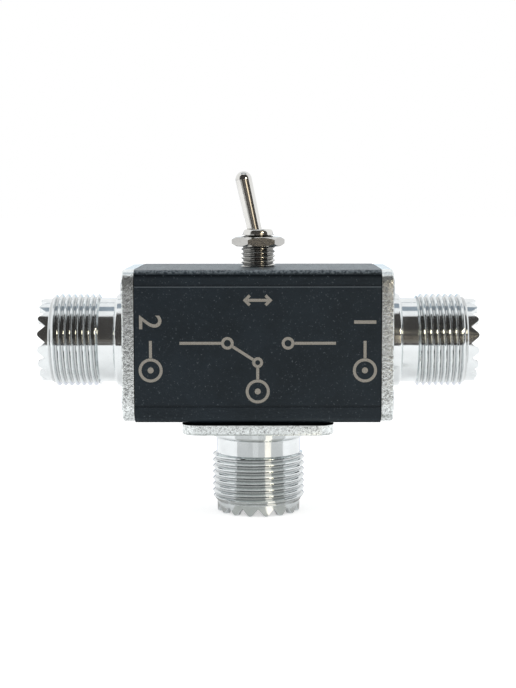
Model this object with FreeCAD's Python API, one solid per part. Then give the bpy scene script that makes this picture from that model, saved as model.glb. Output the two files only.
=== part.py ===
"""Coaxial antenna switch with three threaded sockets and a miniature toggle.

Millimetres. +Z is up, towards the toggle; +X points out of port 1, -X out of port 2, -Z out of the common
port; -Y is the front. The origin is the centre of the common port's mouth, which the switch stands on.
The toggle is drawn as it rests: leaning towards port 2, with the rocker down on port 1's terminal.
"""

import FreeCAD, Part
import math
import os

V = FreeCAD.Vector
X_AXIS, Y_AXIS, Z_AXIS = V(1, 0, 0), V(0, 1, 0), V(0, 0, 1)

# --- Enclosure: one length of square tube with a screw channel in each corner ---
body_side = 25.4
body_length = 40.7
wall = 1.5
edge_radius = 0.9
channel_wall = 1.0
groove_height = 10.0          # of each groove above and below their own middle on the front and back faces
groove_rise = 0.1             # of that middle above the tube's
groove_width = 0.35
groove_depth = 0.18

# --- Socket shell, from the flange outwards ---
flange_thickness = 2.15
flange_corner = 2.6
collar_radius = 8.0
collar_length = 1.85
collar_rounding = 0.7
barrel_radius = 7.28
barrel_length = 2.7
thread_radius = 7.94
thread_length = 8.5
thread_pitch = 25.4 / 24
thread_depth = 0.4
thread_crest = 0.56           # flat on each ridge
thread_flank = 30.0           # of every ridge's side, from square to the axis
thread_chamfer = 0.85         # length of the taper at the thread's outer end
tooth_ring_radius = 7.15
tooth_ring_length = 1.85
tooth_count = 16
tooth_depth = 1.25
tooth_angle = 80.0
port_1_tooth_turn = 10.75     # of a tooth's middle round the port's axis
port_2_tooth_turn = 13.15
tooth_chamfer = 0.15
socket_bore = 6.05
insulator_face_depth = 8.2    # from the mouth

# --- Socket insulator, centre contact and retaining ring ---
insulator_head = 3.4
insulator_chamfer = 0.3
insulator_tail_radius = 4.9
insulator_tail_behind = 2.5   # how far the tail stands behind the flange
contact_recess = 1.5          # contact's end below the mouth
contact_radius = 2.8
contact_bore = 2.0
contact_bore_depth = 11.0
contact_lead_in = 0.3
contact_slots = 4
slot_width = 0.5
slot_length = 5.0
contact_neck_radius = 2.6
stem_radius = 1.5
stem_head_wall = 0.8          # metal between the contact's bore and its stem
stem_collar_radius = 2.4
stem_collar_length = 0.6
cup_radius = 1.75
cup_bore = 1.1
cup_depth = 3.4
ring_radius = 6.0
ring_thickness = 0.6
ring_groove_depth = 0.6
ring_gap = 3.0
ring_clearance = 0.05
ring_room = 0.6               # around the common port's ring in the bottom wall

# --- Flange screws: M3, raised countersunk, cross recess ---
screw_inset = 3.4             # from the tube's faces to each screw's axis
screw_radius = 1.5
screw_head_radius = 2.75
screw_head_rise = 0.4
screw_clearance = 0.1
screw_point = 0.3
side_screw_length = 8.0
common_screw_length = 4.0
recess_length = 3.0
recess_width = 0.6
recess_depth = 0.8
recess_turn = 22.5

# --- Toggle switch: bushing, nut, washer and frame ---
bushing_radius = 2.95
bushing_pitch = 0.75
bushing_thread_depth = 0.42
bushing_thread_crest = 0.12
bushing_reach = 6.4           # above the body
bushing_rim_length = 0.8
bushing_rim_radius = 2.6
rim_rounding = 0.3
bushing_mouth = 2.25
bushing_lip = 1.74
base_end_inset = 0.1          # from the case's ends to the base's
base_side_inset = 0.25
base_thickness = 1.0
base_opening = 3.1            # bore at the base's underside
base_bore = 2.4               # bore at the base's top
hole_clearance = 0.05
nut_across_flats = 8.0
nut_thickness = 1.6
nut_lift = 3.5                # from the body to the nut
nut_turn = 8.0
nut_chamfer = 0.45            # height lost at each corner
nut_face_step = 0.1           # how far inside the flats the nut's round faces end
nut_clearance = 0.04
washer_radius = 4.9
washer_thickness = 0.5
washer_teeth = 10
washer_notch_width = 0.8
washer_notch_depth = 0.8
frame_thickness = 0.4
frame_leg_width = 4.0
frame_tab = 1.0

# --- Toggle case ---
case_length = 12.4
case_width = 7.9
case_height = 8.2
case_wall = 0.9
case_side_wall = 1.5
case_floor = 2.1
case_edge = 0.35

# --- Lever, plunger and spring, measured along the lever from its pivot ---
lever_lean = 12.1             # each side of upright
pivot_depth = 3.0             # below the bushing's mouth
ball_radius = 1.9
ball_clearance = 0.04
bat_length = 13.2
bat_tip_radius = 1.4
bat_root_radius = 1.22
neck_radius = 0.85
neck_length = 7.0
tail_radius = 1.25
tail_length = 3.0
tail_chamfer = 0.2
plunger_radius = 0.75
plunger_clearance = 0.05
plunger_guide_length = 1.4
plunger_tip_radius = 0.6
plunger_tip_length = 0.3      # straight part between the round end and the guide
plunger_reach = 10.7
spring_wire = 0.2
spring_wire_sides = 12        # flat sides drawn round the wire
spring_turns = 3.5
spring_clearance = 0.06
spring_space = 1.3

# --- Rocker and terminals ---
rocker_tilt = 5.0             # each side of level
rocker_thickness = 0.5
rocker_width = 3.0
rocker_end_room = 0.2         # from the rocker's ends to the case's end walls
rocker_notch = 0.5
rocker_notch_length = 1.1
dish_angle = 26.0             # half the angle that the rocker's dish spans
contact_clearance = 0.04
terminal_thickness = 0.8
terminal_width = 2.0
terminal_below = 4.0
cup_gap = 1.9                 # between the common terminal's end and the solder cup under it
terminal_rounding = 0.8       # of the leg's end
ear_height = 0.7
ear_clearance = 0.12
eyelet_radius = 0.65
eyelet_height = 1.1           # from the terminal's end

# --- Wires and solder ---
wire_radius = 0.5
wire_in_cup = 2.6
side_wire_end = 0.9           # past the terminal's middle
side_wire_bend = 1.8
wire_past_cup = 1.2
common_wire_bend = 0.8
common_wire_offset = 0.1      # between wire and terminal
common_wire_lap = 2.2
common_wire_step = 0.25       # share of the gap between cup and terminal that is straight at each end
solder_radius = 0.9
solder_length = 1.0
solder_depth = 1.2            # of the fill in a cup
solder_rise = 0.1             # of the fill above the cup's mouth

# --- Heights and places that follow ---
socket_reach = collar_length + barrel_length + thread_length + tooth_ring_length
mouth = flange_thickness + socket_reach
mid_z = mouth + body_side / 2
top_z = mid_z + body_side / 2
bottom_z = mid_z - body_side / 2
insulator_face = mouth - insulator_face_depth
contact_end = mouth - contact_recess
screw_offset = body_side / 2 - screw_inset
channel_radius = screw_radius + channel_wall

bushing_top = top_z + bushing_reach
washer_top = top_z - wall
frame_top = washer_top - washer_thickness
base_top = frame_top - frame_thickness
case_top = base_top - base_thickness
case_bottom = case_top - case_height
case_inside_floor = case_bottom + case_floor
base_length = case_length - 2 * base_end_inset
base_width = case_width - 2 * base_side_inset
rocker_reach = case_length / 2 - case_wall - rocker_end_room
terminal_pitch = rocker_reach - terminal_thickness / 2
cup_top = case_bottom - terminal_below - cup_gap
cup_length = cup_top - bottom_z - insulator_tail_behind - stem_collar_length
pivot_z = bushing_top - pivot_depth
pivot = V(0, 0, pivot_z)

rocker_pivot_z = pivot_z - plunger_reach - contact_clearance - rocker_thickness
rocker_pivot = V(0, 0, rocker_pivot_z)
tip_centre_reach = plunger_reach - plunger_tip_radius


def box(x0, x1, y0, y1, z0, z1):
    return Part.makeBox(x1 - x0, y1 - y0, z1 - z0, V(x0, y0, z0))


def cylinder(radius, z0, z1, x=0.0, y=0.0):
    return Part.makeCylinder(radius, z1 - z0, V(x, y, z0))


def turned(outline):
    """Solid of revolution about Z from a closed outline of (radius, height) points.

    A pair of points in the outline is an arc: through the first of them to the second."""
    edges = []
    corner = V(outline[0][0], 0, outline[0][1])
    for item in outline[1:] + outline[:1]:
        if isinstance(item[0], tuple):
            middle, end = (V(r, 0, z) for r, z in item)
            edges.append(Part.Arc(corner, middle, end).toShape())
        else:
            end = V(item[0], 0, item[1])
            edges.append(Part.makeLine(corner, end))
        corner = end
    return Part.Face(Part.Wire(edges)).revolve(V(0, 0, 0), Z_AXIS, 360)


def on_circle(centre, radius, angle):
    """(radius, height) point on a circle, the angle in degrees."""
    a = math.radians(angle)
    return (centre[0] + radius * math.cos(a), centre[1] + radius * math.sin(a))


def arc(centre, radius, start, end):
    """An arc's first point and its pair of points, for an outline; angles in degrees."""
    middle = on_circle(centre, radius, (start + end) / 2)
    return [on_circle(centre, radius, start), (middle, on_circle(centre, radius, end))]


def thread_points(z0, z1, pitch, radius, depth, crest):
    """Ridges of one pitch each, from z0 up to z1, as (radius, height) points; crest is their flat's width."""
    count = int((z1 - z0) / pitch + 1e-6)
    start = z0 + (z1 - z0 - count * pitch) / 2
    flank = depth * math.tan(math.radians(thread_flank))
    points = [(radius - depth, z0)]
    for i in range(count):
        middle = start + (i + 0.5) * pitch
        points += [
            (radius - depth, middle - crest / 2 - flank),
            (radius, middle - crest / 2),
            (radius, middle + crest / 2),
            (radius - depth, middle + crest / 2 + flank),
        ]
    return points + [(radius - depth, z1)]


def rounded_square(side, corner, z0, z1):
    """Square plate centred on Z with its four upright edges rounded."""
    plate = box(-side / 2, side / 2, -side / 2, side / 2, z0, z1)
    upright = [e for e in plate.Edges if abs(e.Vertexes[0].Z - e.Vertexes[-1].Z) > (z1 - z0) / 2]
    return plate.makeFillet(corner, upright)


def placed(shape, base, outward):
    """Copy of a socket piece with its +Z turned outward and the back of its flange at base."""
    piece = shape.copy()
    piece.Placement = FreeCAD.Placement(base, FreeCAD.Rotation(Z_AXIS, outward))
    return piece


def screw_places():
    return [(i * screw_offset, j * screw_offset) for i in (-1, 1) for j in (-1, 1)]


# --- Enclosure ---------------------------------------------------------------------------------------

def body_extrusion():
    half = body_side / 2
    inside = half - wall
    groove_mid = mid_z + groove_rise
    tube = rounded_square(body_side, edge_radius, 0, body_length)
    tube = tube.cut(box(-inside, inside, -inside, inside, 0, body_length))
    channels = [cylinder(channel_radius, 0, body_length, x, y) for x, y in screw_places()]
    outline = rounded_square(body_side, edge_radius, 0, body_length)
    tube = tube.fuse([c.common(outline) for c in channels])
    tube = tube.cut([cylinder(screw_radius, 0, body_length, x, y) for x, y in screw_places()])
    tube.rotate(V(0, 0, 0), Y_AXIS, 90)
    tube.translate(V(-body_length / 2, 0, mid_z))
    cuts = [cylinder(bushing_radius + hole_clearance, top_z - wall - 1, top_z + 1)]
    cuts.append(cylinder(ring_radius + ring_room, bottom_z - 1, bottom_z + wall + 1))
    thread_in = common_screw_length - flange_thickness
    cuts += [cylinder(screw_radius, bottom_z - 1, bottom_z + thread_in, x, y) for x, y in screw_places()]
    for side in (-1, 1):
        for z in (groove_mid - groove_height, groove_mid + groove_height):
            y = side * half
            cuts.append(
                box(
                    -body_length / 2, body_length / 2,
                    y - groove_depth, y + groove_depth,
                    z - groove_width / 2, z + groove_width / 2,
                )
            )
    return tube.cut(cuts).removeSplitter()


# --- Socket, along +Z from the back of its flange ----------------------------------------------------

def socket_shell(tooth_turn):
    collar_end = flange_thickness + collar_length
    barrel_end = collar_end + barrel_length
    thread_end = barrel_end + thread_length
    outline = [(socket_bore, flange_thickness / 2), (collar_radius, flange_thickness / 2)]
    rounding = (collar_radius - collar_rounding, collar_end - collar_rounding)
    outline += arc(rounding, collar_rounding, 0, 90)
    outline += [(barrel_radius, collar_end), (barrel_radius, barrel_end)]
    outline += thread_points(barrel_end, thread_end, thread_pitch, thread_radius, thread_depth, thread_crest)
    outline += [(tooth_ring_radius, thread_end), (tooth_ring_radius, mouth - tooth_chamfer)]
    outline += [(tooth_ring_radius - tooth_chamfer, mouth), (socket_bore, mouth)]
    barrel = turned(outline).cut(turned([
        (tooth_ring_radius, thread_end),
        (thread_radius, thread_end - thread_chamfer),
        (thread_radius + 1, thread_end - thread_chamfer),
        (thread_radius + 1, thread_end),
    ]))
    shell = rounded_square(body_side, flange_corner, 0, flange_thickness).fuse(barrel)
    head_seat = insulator_face - insulator_head
    shell = shell.cut([
        cylinder(socket_bore, head_seat, mouth + 1),
        cylinder(insulator_tail_radius, -1, mouth),
    ])
    shell = shell.cut([screw_hole(x, y) for x, y in screw_places()])
    return shell.cut(tooth_valleys(tooth_turn)).removeSplitter()


def tooth_valleys(tooth_turn):
    """V-shaped bars right across the mouth: each one cuts two opposite valleys of the tooth ring."""
    over = 0.5
    slope = math.tan(math.radians(tooth_angle / 2))
    half = (tooth_depth + over) * slope
    reach = tooth_ring_radius + 1
    high = mouth + over
    corners = [V(-reach, 0, mouth - tooth_depth), V(-reach, half, high), V(-reach, -half, high)]
    bar = Part.Face(Part.makePolygon(corners + corners[:1])).extrude(V(2 * reach, 0, 0))
    bars = []
    for i in range(tooth_count // 2):
        valley = bar.copy()
        valley.rotate(V(0, 0, 0), Z_AXIS, tooth_turn + (i + 0.5) * 360.0 / tooth_count)
        bars.append(valley)
    return bars


def screw_hole(x, y):
    """Countersunk hole through the flange."""
    sink = screw_head_radius - screw_radius - screw_clearance
    hole = turned([
        (0, -1),
        (screw_radius + screw_clearance, -1),
        (screw_radius + screw_clearance, flange_thickness - sink),
        (screw_head_radius, flange_thickness),
        (screw_head_radius, flange_thickness + 1),
        (0, flange_thickness + 1),
    ])
    hole.translate(V(x, y, 0))
    return hole


def flange_screw(length, x, y):
    sink = screw_head_radius - screw_radius - screw_clearance
    top = flange_thickness + screw_head_rise
    seat = flange_thickness - sink
    end = flange_thickness - length
    dome_radius = (screw_head_radius ** 2 + screw_head_rise ** 2) / (2 * screw_head_rise)
    span = math.degrees(math.asin(screw_head_radius / dome_radius))
    dome = arc((0, top - dome_radius), dome_radius, 90 - span, 90)
    shank = [(0, end), (screw_radius - screw_point, end), (screw_radius, end + screw_point)]
    screw = turned(shank + [(screw_radius, seat), (screw_radius + screw_clearance, seat)] + dome)
    for turn in (0, 90):
        slot = box(-recess_length / 2, recess_length / 2, -recess_width / 2, recess_width / 2,
                   top - recess_depth, top + 1)
        slot.rotate(V(0, 0, 0), Z_AXIS, turn + recess_turn)
        screw = screw.cut(slot)
    screw.translate(V(x, y, 0))
    return screw


def flange_screws(length):
    return Part.makeCompound([flange_screw(length, x, y) for x, y in screw_places()])


def insulator():
    head_seat = insulator_face - insulator_head
    stem_seat = contact_end - contact_bore_depth - stem_head_wall
    groove = insulator_tail_radius - ring_groove_depth
    return turned([
        (contact_neck_radius, insulator_face),
        (socket_bore - insulator_chamfer, insulator_face),
        (socket_bore, insulator_face - insulator_chamfer),
        (socket_bore, head_seat),
        (insulator_tail_radius, head_seat),
        (insulator_tail_radius, 0),
        (groove, 0),
        (groove, -ring_thickness),
        (insulator_tail_radius, -ring_thickness),
        (insulator_tail_radius, -insulator_tail_behind),
        (stem_radius, -insulator_tail_behind),
        (stem_radius, stem_seat),
        (contact_neck_radius, stem_seat),
    ])


def centre_contact():
    stem_seat = contact_end - contact_bore_depth - stem_head_wall
    bore_end = contact_end - contact_bore_depth
    collar_back = -insulator_tail_behind - stem_collar_length
    cup_end = collar_back - cup_length
    contact = turned([
        (0, bore_end),
        (contact_bore, bore_end),
        (contact_bore, contact_end - contact_lead_in),
        (contact_bore + contact_lead_in, contact_end),
        (contact_radius - contact_lead_in, contact_end),
        (contact_radius, contact_end - contact_lead_in),
        (contact_radius, insulator_face),
        (contact_neck_radius, insulator_face),
        (contact_neck_radius, stem_seat),
        (stem_radius, stem_seat),
        (stem_radius, -insulator_tail_behind),
        (stem_collar_radius, -insulator_tail_behind),
        (stem_collar_radius, collar_back),
        (cup_radius, collar_back),
        (cup_radius, cup_end),
        (cup_bore, cup_end),
        (cup_bore, cup_end + cup_depth),
        (0, cup_end + cup_depth),
    ])
    for i in range(contact_slots // 2):
        slot = box(-contact_radius - 1, contact_radius + 1, -slot_width / 2, slot_width / 2,
                   contact_end - slot_length, contact_end + 1)
        slot.rotate(V(0, 0, 0), Z_AXIS, (i + 0.5) * 360.0 / contact_slots)
        contact = contact.cut(slot)
    return contact


def retaining_ring():
    inner = insulator_tail_radius - ring_groove_depth + ring_clearance
    ring = cylinder(ring_radius, -ring_thickness, 0).cut(cylinder(inner, -ring_thickness, 0))
    return ring.cut(box(0, ring_radius + 1, -ring_gap / 2, ring_gap / 2, -ring_thickness - 1, 1))


# --- Toggle switch -----------------------------------------------------------------------------------

def bushing_thread(clearance):
    """Bushing's thread up to its rim, with a radial clearance, as (radius, height) points."""
    rim_start = bushing_top - bushing_rim_length
    profile = (bushing_pitch, bushing_radius + clearance, bushing_thread_depth, bushing_thread_crest)
    return thread_points(washer_top, rim_start, *profile)


def toggle_bushing():
    """Threaded tube on a flat base, with a round seat inside that the lever's ball swings in."""
    rim_start = bushing_top - bushing_rim_length
    rim_centre = (bushing_rim_radius - rim_rounding, bushing_top - rim_rounding)
    outside = [(0, base_top), (bushing_radius, base_top), (bushing_radius, washer_top)]
    outside += bushing_thread(0) + [(bushing_rim_radius, rim_start)]
    outside += arc(rim_centre, rim_rounding, 0, 90) + [(0, bushing_top)]
    flange = box(-base_length / 2, base_length / 2, -base_width / 2, base_width / 2, case_top, base_top)
    seat = ball_radius + ball_clearance
    bore = turned([
        (0, case_top - 1),
        (base_opening, case_top - 1),
        (base_opening, case_top),
        (base_bore, base_top),
        (seat, pivot_z - ball_radius),
        (seat, pivot_z),
        (bushing_lip, pivot_z),
        (bushing_lip, pivot_z + ball_radius),
        (bushing_mouth, bushing_top),
        (bushing_mouth, bushing_top + 1),
        (0, bushing_top + 1),
    ])
    bore = bore.fuse(Part.makeSphere(seat, pivot))
    return turned(outside).fuse(flange).cut(bore).removeSplitter()


def toggle_nut():
    corner = nut_across_flats / 2 / math.cos(math.radians(30))
    low, high = top_z + nut_lift, top_z + nut_lift + nut_thickness
    angles = [math.radians(60 * i + nut_turn) for i in range(6)]
    corners = [V(corner * math.cos(a), corner * math.sin(a), low) for a in angles]
    prism = Part.Face(Part.makePolygon(corners + corners[:1])).extrude(V(0, 0, high - low))
    flat = nut_across_flats / 2 - nut_face_step
    chamfered = turned([
        (0, low),
        (flat, low),
        (corner, low + nut_chamfer),
        (corner, high - nut_chamfer),
        (flat, high),
        (0, high),
    ])
    rim_start = bushing_top - bushing_rim_length
    thread = turned([(0, washer_top)] + bushing_thread(nut_clearance) + [(0, rim_start)])
    return prism.common(chamfered).cut(thread)


def lock_washer():
    """Flat washer with inside teeth, between the switch and the wall."""
    inner = bushing_radius + hole_clearance
    washer = cylinder(washer_radius, frame_top, washer_top).cut(cylinder(inner, frame_top, washer_top))
    notches = []
    for i in range(washer_teeth):
        notch = box(inner - 1, inner + washer_notch_depth, -washer_notch_width / 2, washer_notch_width / 2,
                    frame_top - 1, washer_top + 1)
        notch.rotate(V(0, 0, 0), Z_AXIS, i * 360.0 / washer_teeth)
        notches.append(notch)
    return washer.cut(notches)


def toggle_frame():
    """Pressed bracket over the bushing's base, down both ends of the case and under its floor."""
    end = case_length / 2
    half = frame_leg_width / 2
    low = case_bottom - frame_thickness
    outside = end + frame_thickness
    top = box(-outside, outside, -case_width / 2, case_width / 2, base_top, frame_top)
    parts = []
    for side in (-1, 1):
        x0, x1 = sorted((side * end, side * outside))
        t0, t1 = sorted((side * (end - frame_tab), side * outside))
        parts.append(box(x0, x1, -half, half, low, frame_top))
        parts.append(box(t0, t1, -half, half, low, case_bottom))
    bracket = top.fuse(parts)
    hole = cylinder(bushing_radius + hole_clearance, base_top - 1, frame_top + 1)
    return bracket.cut(hole).removeSplitter()


def toggle_case():
    end, half = case_length / 2, case_width / 2
    case = box(-end, end, -half, half, case_bottom, case_top)
    upright = [e for e in case.Edges if abs(e.Vertexes[0].Z - e.Vertexes[-1].Z) > case_height / 2]
    case = case.makeFillet(case_edge, upright)
    case = case.cut(box(-end + case_wall, end - case_wall, -half + case_side_wall, half - case_side_wall,
                        case_inside_floor, case_top + 1))
    slots = [
        box(x - terminal_thickness / 2, x + terminal_thickness / 2, -terminal_width / 2, terminal_width / 2,
            case_bottom - 1, case_inside_floor + 1)
        for x in (-terminal_pitch, 0, terminal_pitch)
    ]
    return case.cut(slots)


def at_lever_rest(shape):
    """Lean a piece of the upright lever to its rest, towards port 2."""
    shape.rotate(pivot, Y_AXIS, -lever_lean)
    return shape


def toggle_lever():
    """Bat, ball, neck and a hollow tail for the plunger."""
    tip_z = pivot_z + bat_length - bat_tip_radius
    tail_start = pivot_z - neck_length
    tail_end = tail_start - tail_length
    bore = plunger_radius + plunger_clearance
    bore_top = guide_top() + spring_space
    core = turned([
        (0, bore_top),
        (bore, bore_top),
        (bore, tail_end),
        (tail_radius - tail_chamfer, tail_end),
        (tail_radius, tail_end + tail_chamfer),
        (tail_radius, tail_start - tail_chamfer),
        (tail_radius - tail_chamfer, tail_start),
        (neck_radius, tail_start),
        (neck_radius, pivot_z),
        (bat_root_radius, pivot_z),
        (bat_tip_radius, tip_z),
        (0, tip_z),
    ])
    ball = Part.makeSphere(ball_radius, pivot)
    tip = Part.makeSphere(bat_tip_radius, V(0, 0, tip_z))
    return at_lever_rest(core.fuse([ball, tip]).removeSplitter())


def guide_start():
    """Height of the upright plunger's shoulder, where its tip widens to its guide."""
    return pivot_z - plunger_reach + plunger_tip_radius + plunger_tip_length


def guide_top():
    return guide_start() + plunger_guide_length


def toggle_plunger():
    tip_centre = (0, pivot_z - tip_centre_reach)
    outline = [(0, guide_top()), (plunger_radius, guide_top()), (plunger_radius, guide_start())]
    outline += [(plunger_tip_radius, guide_start())] + arc(tip_centre, plunger_tip_radius, 0, -90)
    return at_lever_rest(turned(outline))


def plunger_spring():
    coil = plunger_radius + plunger_clearance - spring_clearance - spring_wire / 2
    height = spring_space - spring_wire - 2 * spring_clearance
    helix = Part.makeHelix(height / spring_turns, height, coil)
    corners = [V(coil + spring_wire / 2 * math.cos(turn), 0, spring_wire / 2 * math.sin(turn))
               for turn in (2 * math.pi * side / spring_wire_sides for side in range(spring_wire_sides + 1))]
    section = Part.makePolygon(corners)
    spring = Part.Wire(helix.Edges).makePipeShell([section], True, True)
    spring.translate(V(0, 0, guide_top() + spring_clearance + spring_wire / 2))
    return at_lever_rest(spring)


# --- Rocker and terminals ----------------------------------------------------------------------------

def dish_radius():
    """Radius of the rocker's underside, so that the plunger's tip keeps the same gap over the whole travel.

    In the rocker's own frame the tip's centre runs from (0, h) to (x, z) as the lever goes from upright to
    its limit and the rocker from level to its tilt; the radius is that of the circle through both."""
    lean, tilt = math.radians(lever_lean), math.radians(rocker_tilt)
    h = rocker_thickness + contact_clearance + plunger_tip_radius
    across = tip_centre_reach * math.sin(lean)
    up = h + tip_centre_reach * (1 - math.cos(lean))
    x = across * math.cos(tilt) - up * math.sin(tilt)
    z = across * math.sin(tilt) + up * math.cos(tilt)
    return (x * x + z * z - h * h) / (2 * (z - h))


def wing_height():
    """Underside of the rocker's flat wings above its pivot."""
    return dish_radius() * (1 - math.cos(math.radians(dish_angle)))


def rocker_contact():
    under = dish_radius()
    over = under - rocker_thickness
    angle = math.radians(dish_angle)
    centre = rocker_pivot_z + under
    rise = wing_height()

    def on_arc(radius, a):
        return V(radius * math.sin(a), -rocker_width / 2, centre - radius * math.cos(a))

    low_wing, high_wing = rocker_pivot_z + rise, rocker_pivot_z + rise + rocker_thickness
    y = -rocker_width / 2
    bottom = Part.Arc(on_arc(under, -angle), on_arc(under, 0), on_arc(under, angle)).toShape()
    right = [on_arc(under, angle), V(rocker_reach, y, low_wing), V(rocker_reach, y, high_wing)]
    top = Part.Arc(on_arc(over, angle), on_arc(over, 0), on_arc(over, -angle)).toShape()
    bend = max(on_arc(over, angle).x, on_arc(under, angle).x - rocker_thickness / 3)
    right += [V(bend, y, high_wing), on_arc(over, angle)]
    left = [V(-p.x, p.y, p.z) for p in reversed(right)]
    edges = [bottom, *Part.makePolygon(right).Edges, top, *Part.makePolygon(left).Edges]
    strip = Part.Face(Part.Wire(edges)).extrude(V(0, rocker_width, 0))
    notches = []
    for side in (-1, 1):
        y0, y1 = sorted((side * (rocker_width / 2 - rocker_notch), side * (rocker_width / 2 + 1)))
        notches.append(box(-rocker_notch_length / 2, rocker_notch_length / 2, y0, y1,
                           rocker_pivot_z - 1, rocker_pivot_z + 2))
    strip = strip.cut(notches)
    strip.rotate(rocker_pivot, Y_AXIS, rocker_tilt)
    return strip


def blade(x, top):
    """Solder terminal: rounded top, shoulder on the case's floor, and a leg with an eyelet below it."""
    half_thickness = terminal_thickness / 2
    leg_end = case_bottom - terminal_below
    leg = box(x - half_thickness, x + half_thickness, -terminal_width / 2, terminal_width / 2,
              leg_end, case_inside_floor)
    low_edges = [
        e for e in leg.Edges
        if abs(e.CenterOfMass.z - leg_end) < 1e-6 and e.BoundBox.XLength > half_thickness
    ]
    leg = leg.makeFillet(terminal_rounding, low_edges)
    eyelet = Part.makeCylinder(eyelet_radius, terminal_thickness + 2,
                               V(x - half_thickness - 1, 0, leg_end + eyelet_height), X_AXIS)
    width = rocker_width / 2
    crown_z = top - half_thickness
    head = box(x - half_thickness, x + half_thickness, -width, width, case_inside_floor, crown_z)
    crown = Part.makeCylinder(half_thickness, 2 * width, V(x, -width, crown_z), Y_AXIS)
    return leg.fuse([head, crown]).removeSplitter().cut(eyelet)


def side_terminal(side):
    """Terminal under one wing of the rocker, which rests on port 1's and stands clear of port 2's."""
    tilt = math.radians(rocker_tilt)
    down = terminal_pitch * math.sin(tilt) - wing_height() * math.cos(tilt)
    return blade(side * terminal_pitch, rocker_pivot_z - down - contact_clearance)


def common_terminal():
    """Terminal that the rocker rocks on, with an ear at each side in the rocker's notches."""
    top = rocker_pivot_z - contact_clearance
    terminal = blade(0, top)
    half_thickness = terminal_thickness / 2
    ears = []
    for side in (-1, 1):
        inner = rocker_width / 2 - rocker_notch + ear_clearance
        y0, y1 = sorted((side * inner, side * rocker_width / 2))
        ears.append(box(-half_thickness, half_thickness, y0, y1, case_inside_floor, top + ear_height))
    return terminal.fuse(ears).removeSplitter()


# --- Wires and solder --------------------------------------------------------------------------------

def bent_wire(points, bend):
    """Round wire through points, with a tangent arc of one radius at each bend."""
    edges = []
    start = points[0]
    for before, corner, after in zip(points, points[1:], points[2:]):
        incoming, outgoing = (corner - before).normalize(), (after - corner).normalize()
        turn = incoming.getAngle(outgoing)
        cut_back = bend * math.tan(turn / 2)
        a, b = corner - incoming * cut_back, corner + outgoing * cut_back
        inward = (outgoing - incoming).normalize()
        centre = corner + inward * (bend / math.cos(turn / 2))
        middle = centre - inward * bend
        edges += [Part.makeLine(start, a), Part.Arc(a, middle, b).toShape()]
        start = b
    edges.append(Part.makeLine(start, points[-1]))
    section = Part.Wire(Part.makeCircle(wire_radius, points[0], points[1] - points[0]))
    return Part.Wire(edges).makePipeShell([section], True, False)


def eyelet_z():
    return case_bottom - terminal_below + eyelet_height


def cup_mouth():
    """How far behind its flange a socket's solder cup opens."""
    return insulator_tail_behind + stem_collar_length + cup_length


def side_wire(side):
    cup_x = body_length / 2 - cup_mouth()
    run_in = terminal_pitch + terminal_thickness / 2 + side_wire_bend
    points = [
        V(side * (cup_x + wire_in_cup), 0, mid_z),
        V(side * (cup_x - wire_past_cup), 0, mid_z),
        V(side * run_in, 0, eyelet_z()),
        V(side * (terminal_pitch - side_wire_end), 0, eyelet_z()),
    ]
    return bent_wire(points, side_wire_bend)


def common_wire():
    cup_z = bottom_z + cup_mouth()
    beside = terminal_thickness / 2 + wire_radius + common_wire_offset
    terminal_end = case_bottom - terminal_below
    points = [
        V(0, 0, cup_z - wire_in_cup),
        V(0, 0, cup_z + common_wire_step * (terminal_end - cup_z)),
        V(beside, 0, terminal_end - common_wire_step * (terminal_end - cup_z)),
        V(beside, 0, terminal_end + common_wire_lap),
    ]
    return bent_wire(points, common_wire_bend)


def solder_joints():
    """A fill in each solder cup, a bead on each side wire's eyelet and a lap on the common terminal."""
    cup_x = body_length / 2 - cup_mouth()
    fill = turned([
        (wire_radius, -solder_depth),
        (cup_bore, -solder_depth),
        (cup_bore, 0),
        (wire_radius, solder_rise),
    ])
    bead = turned([
        (wire_radius, 0),
        (solder_radius, 0),
        (wire_radius + solder_rise, solder_length),
        (wire_radius, solder_length),
    ])
    joints = [placed(fill, V(0, 0, bottom_z + cup_mouth()), Z_AXIS)]
    for side in (-1, 1):
        joints.append(placed(fill, V(side * cup_x, 0, mid_z), V(-side, 0, 0)))
        eyelet = V(side * (terminal_pitch + terminal_thickness / 2), 0, eyelet_z())
        joints.append(placed(bead, eyelet, V(side, 0, 0)))
    lap_start = case_bottom - terminal_below + terminal_rounding
    beside = terminal_thickness / 2 + wire_radius + common_wire_offset
    lap = cylinder(solder_radius, lap_start, lap_start + solder_length, beside)
    lap = lap.cut(cylinder(wire_radius, lap_start - 1, lap_start + solder_length + 1, beside))
    terminal_face = terminal_thickness / 2
    lap = lap.cut(box(-beside, terminal_face, -solder_radius, solder_radius, lap_start - 1, case_bottom))
    return Part.makeCompound(joints + [lap])


# --- Assembly ----------------------------------------------------------------------------------------

def sockets():
    ports = {
        "port_1": (V(body_length / 2, 0, mid_z), X_AXIS, side_screw_length, port_1_tooth_turn),
        "port_2": (V(-body_length / 2, 0, mid_z), V(-1, 0, 0), side_screw_length, port_2_tooth_turn),
        "common": (V(0, 0, bottom_z), V(0, 0, -1), common_screw_length, 180.0 / tooth_count),
    }
    inner_pieces = {"insulator": insulator(), "contact": centre_contact(), "ring": retaining_ring()}
    nodes = {}
    for port, (base, outward, screw_length, tooth_turn) in ports.items():
        nodes[f"{port}_shell"] = placed(socket_shell(tooth_turn), base, outward)
        for name, piece in inner_pieces.items():
            nodes[f"{port}_{name}"] = placed(piece, base, outward)
        nodes[f"{port}_screws"] = placed(flange_screws(screw_length), base, outward)
    return nodes


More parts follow.
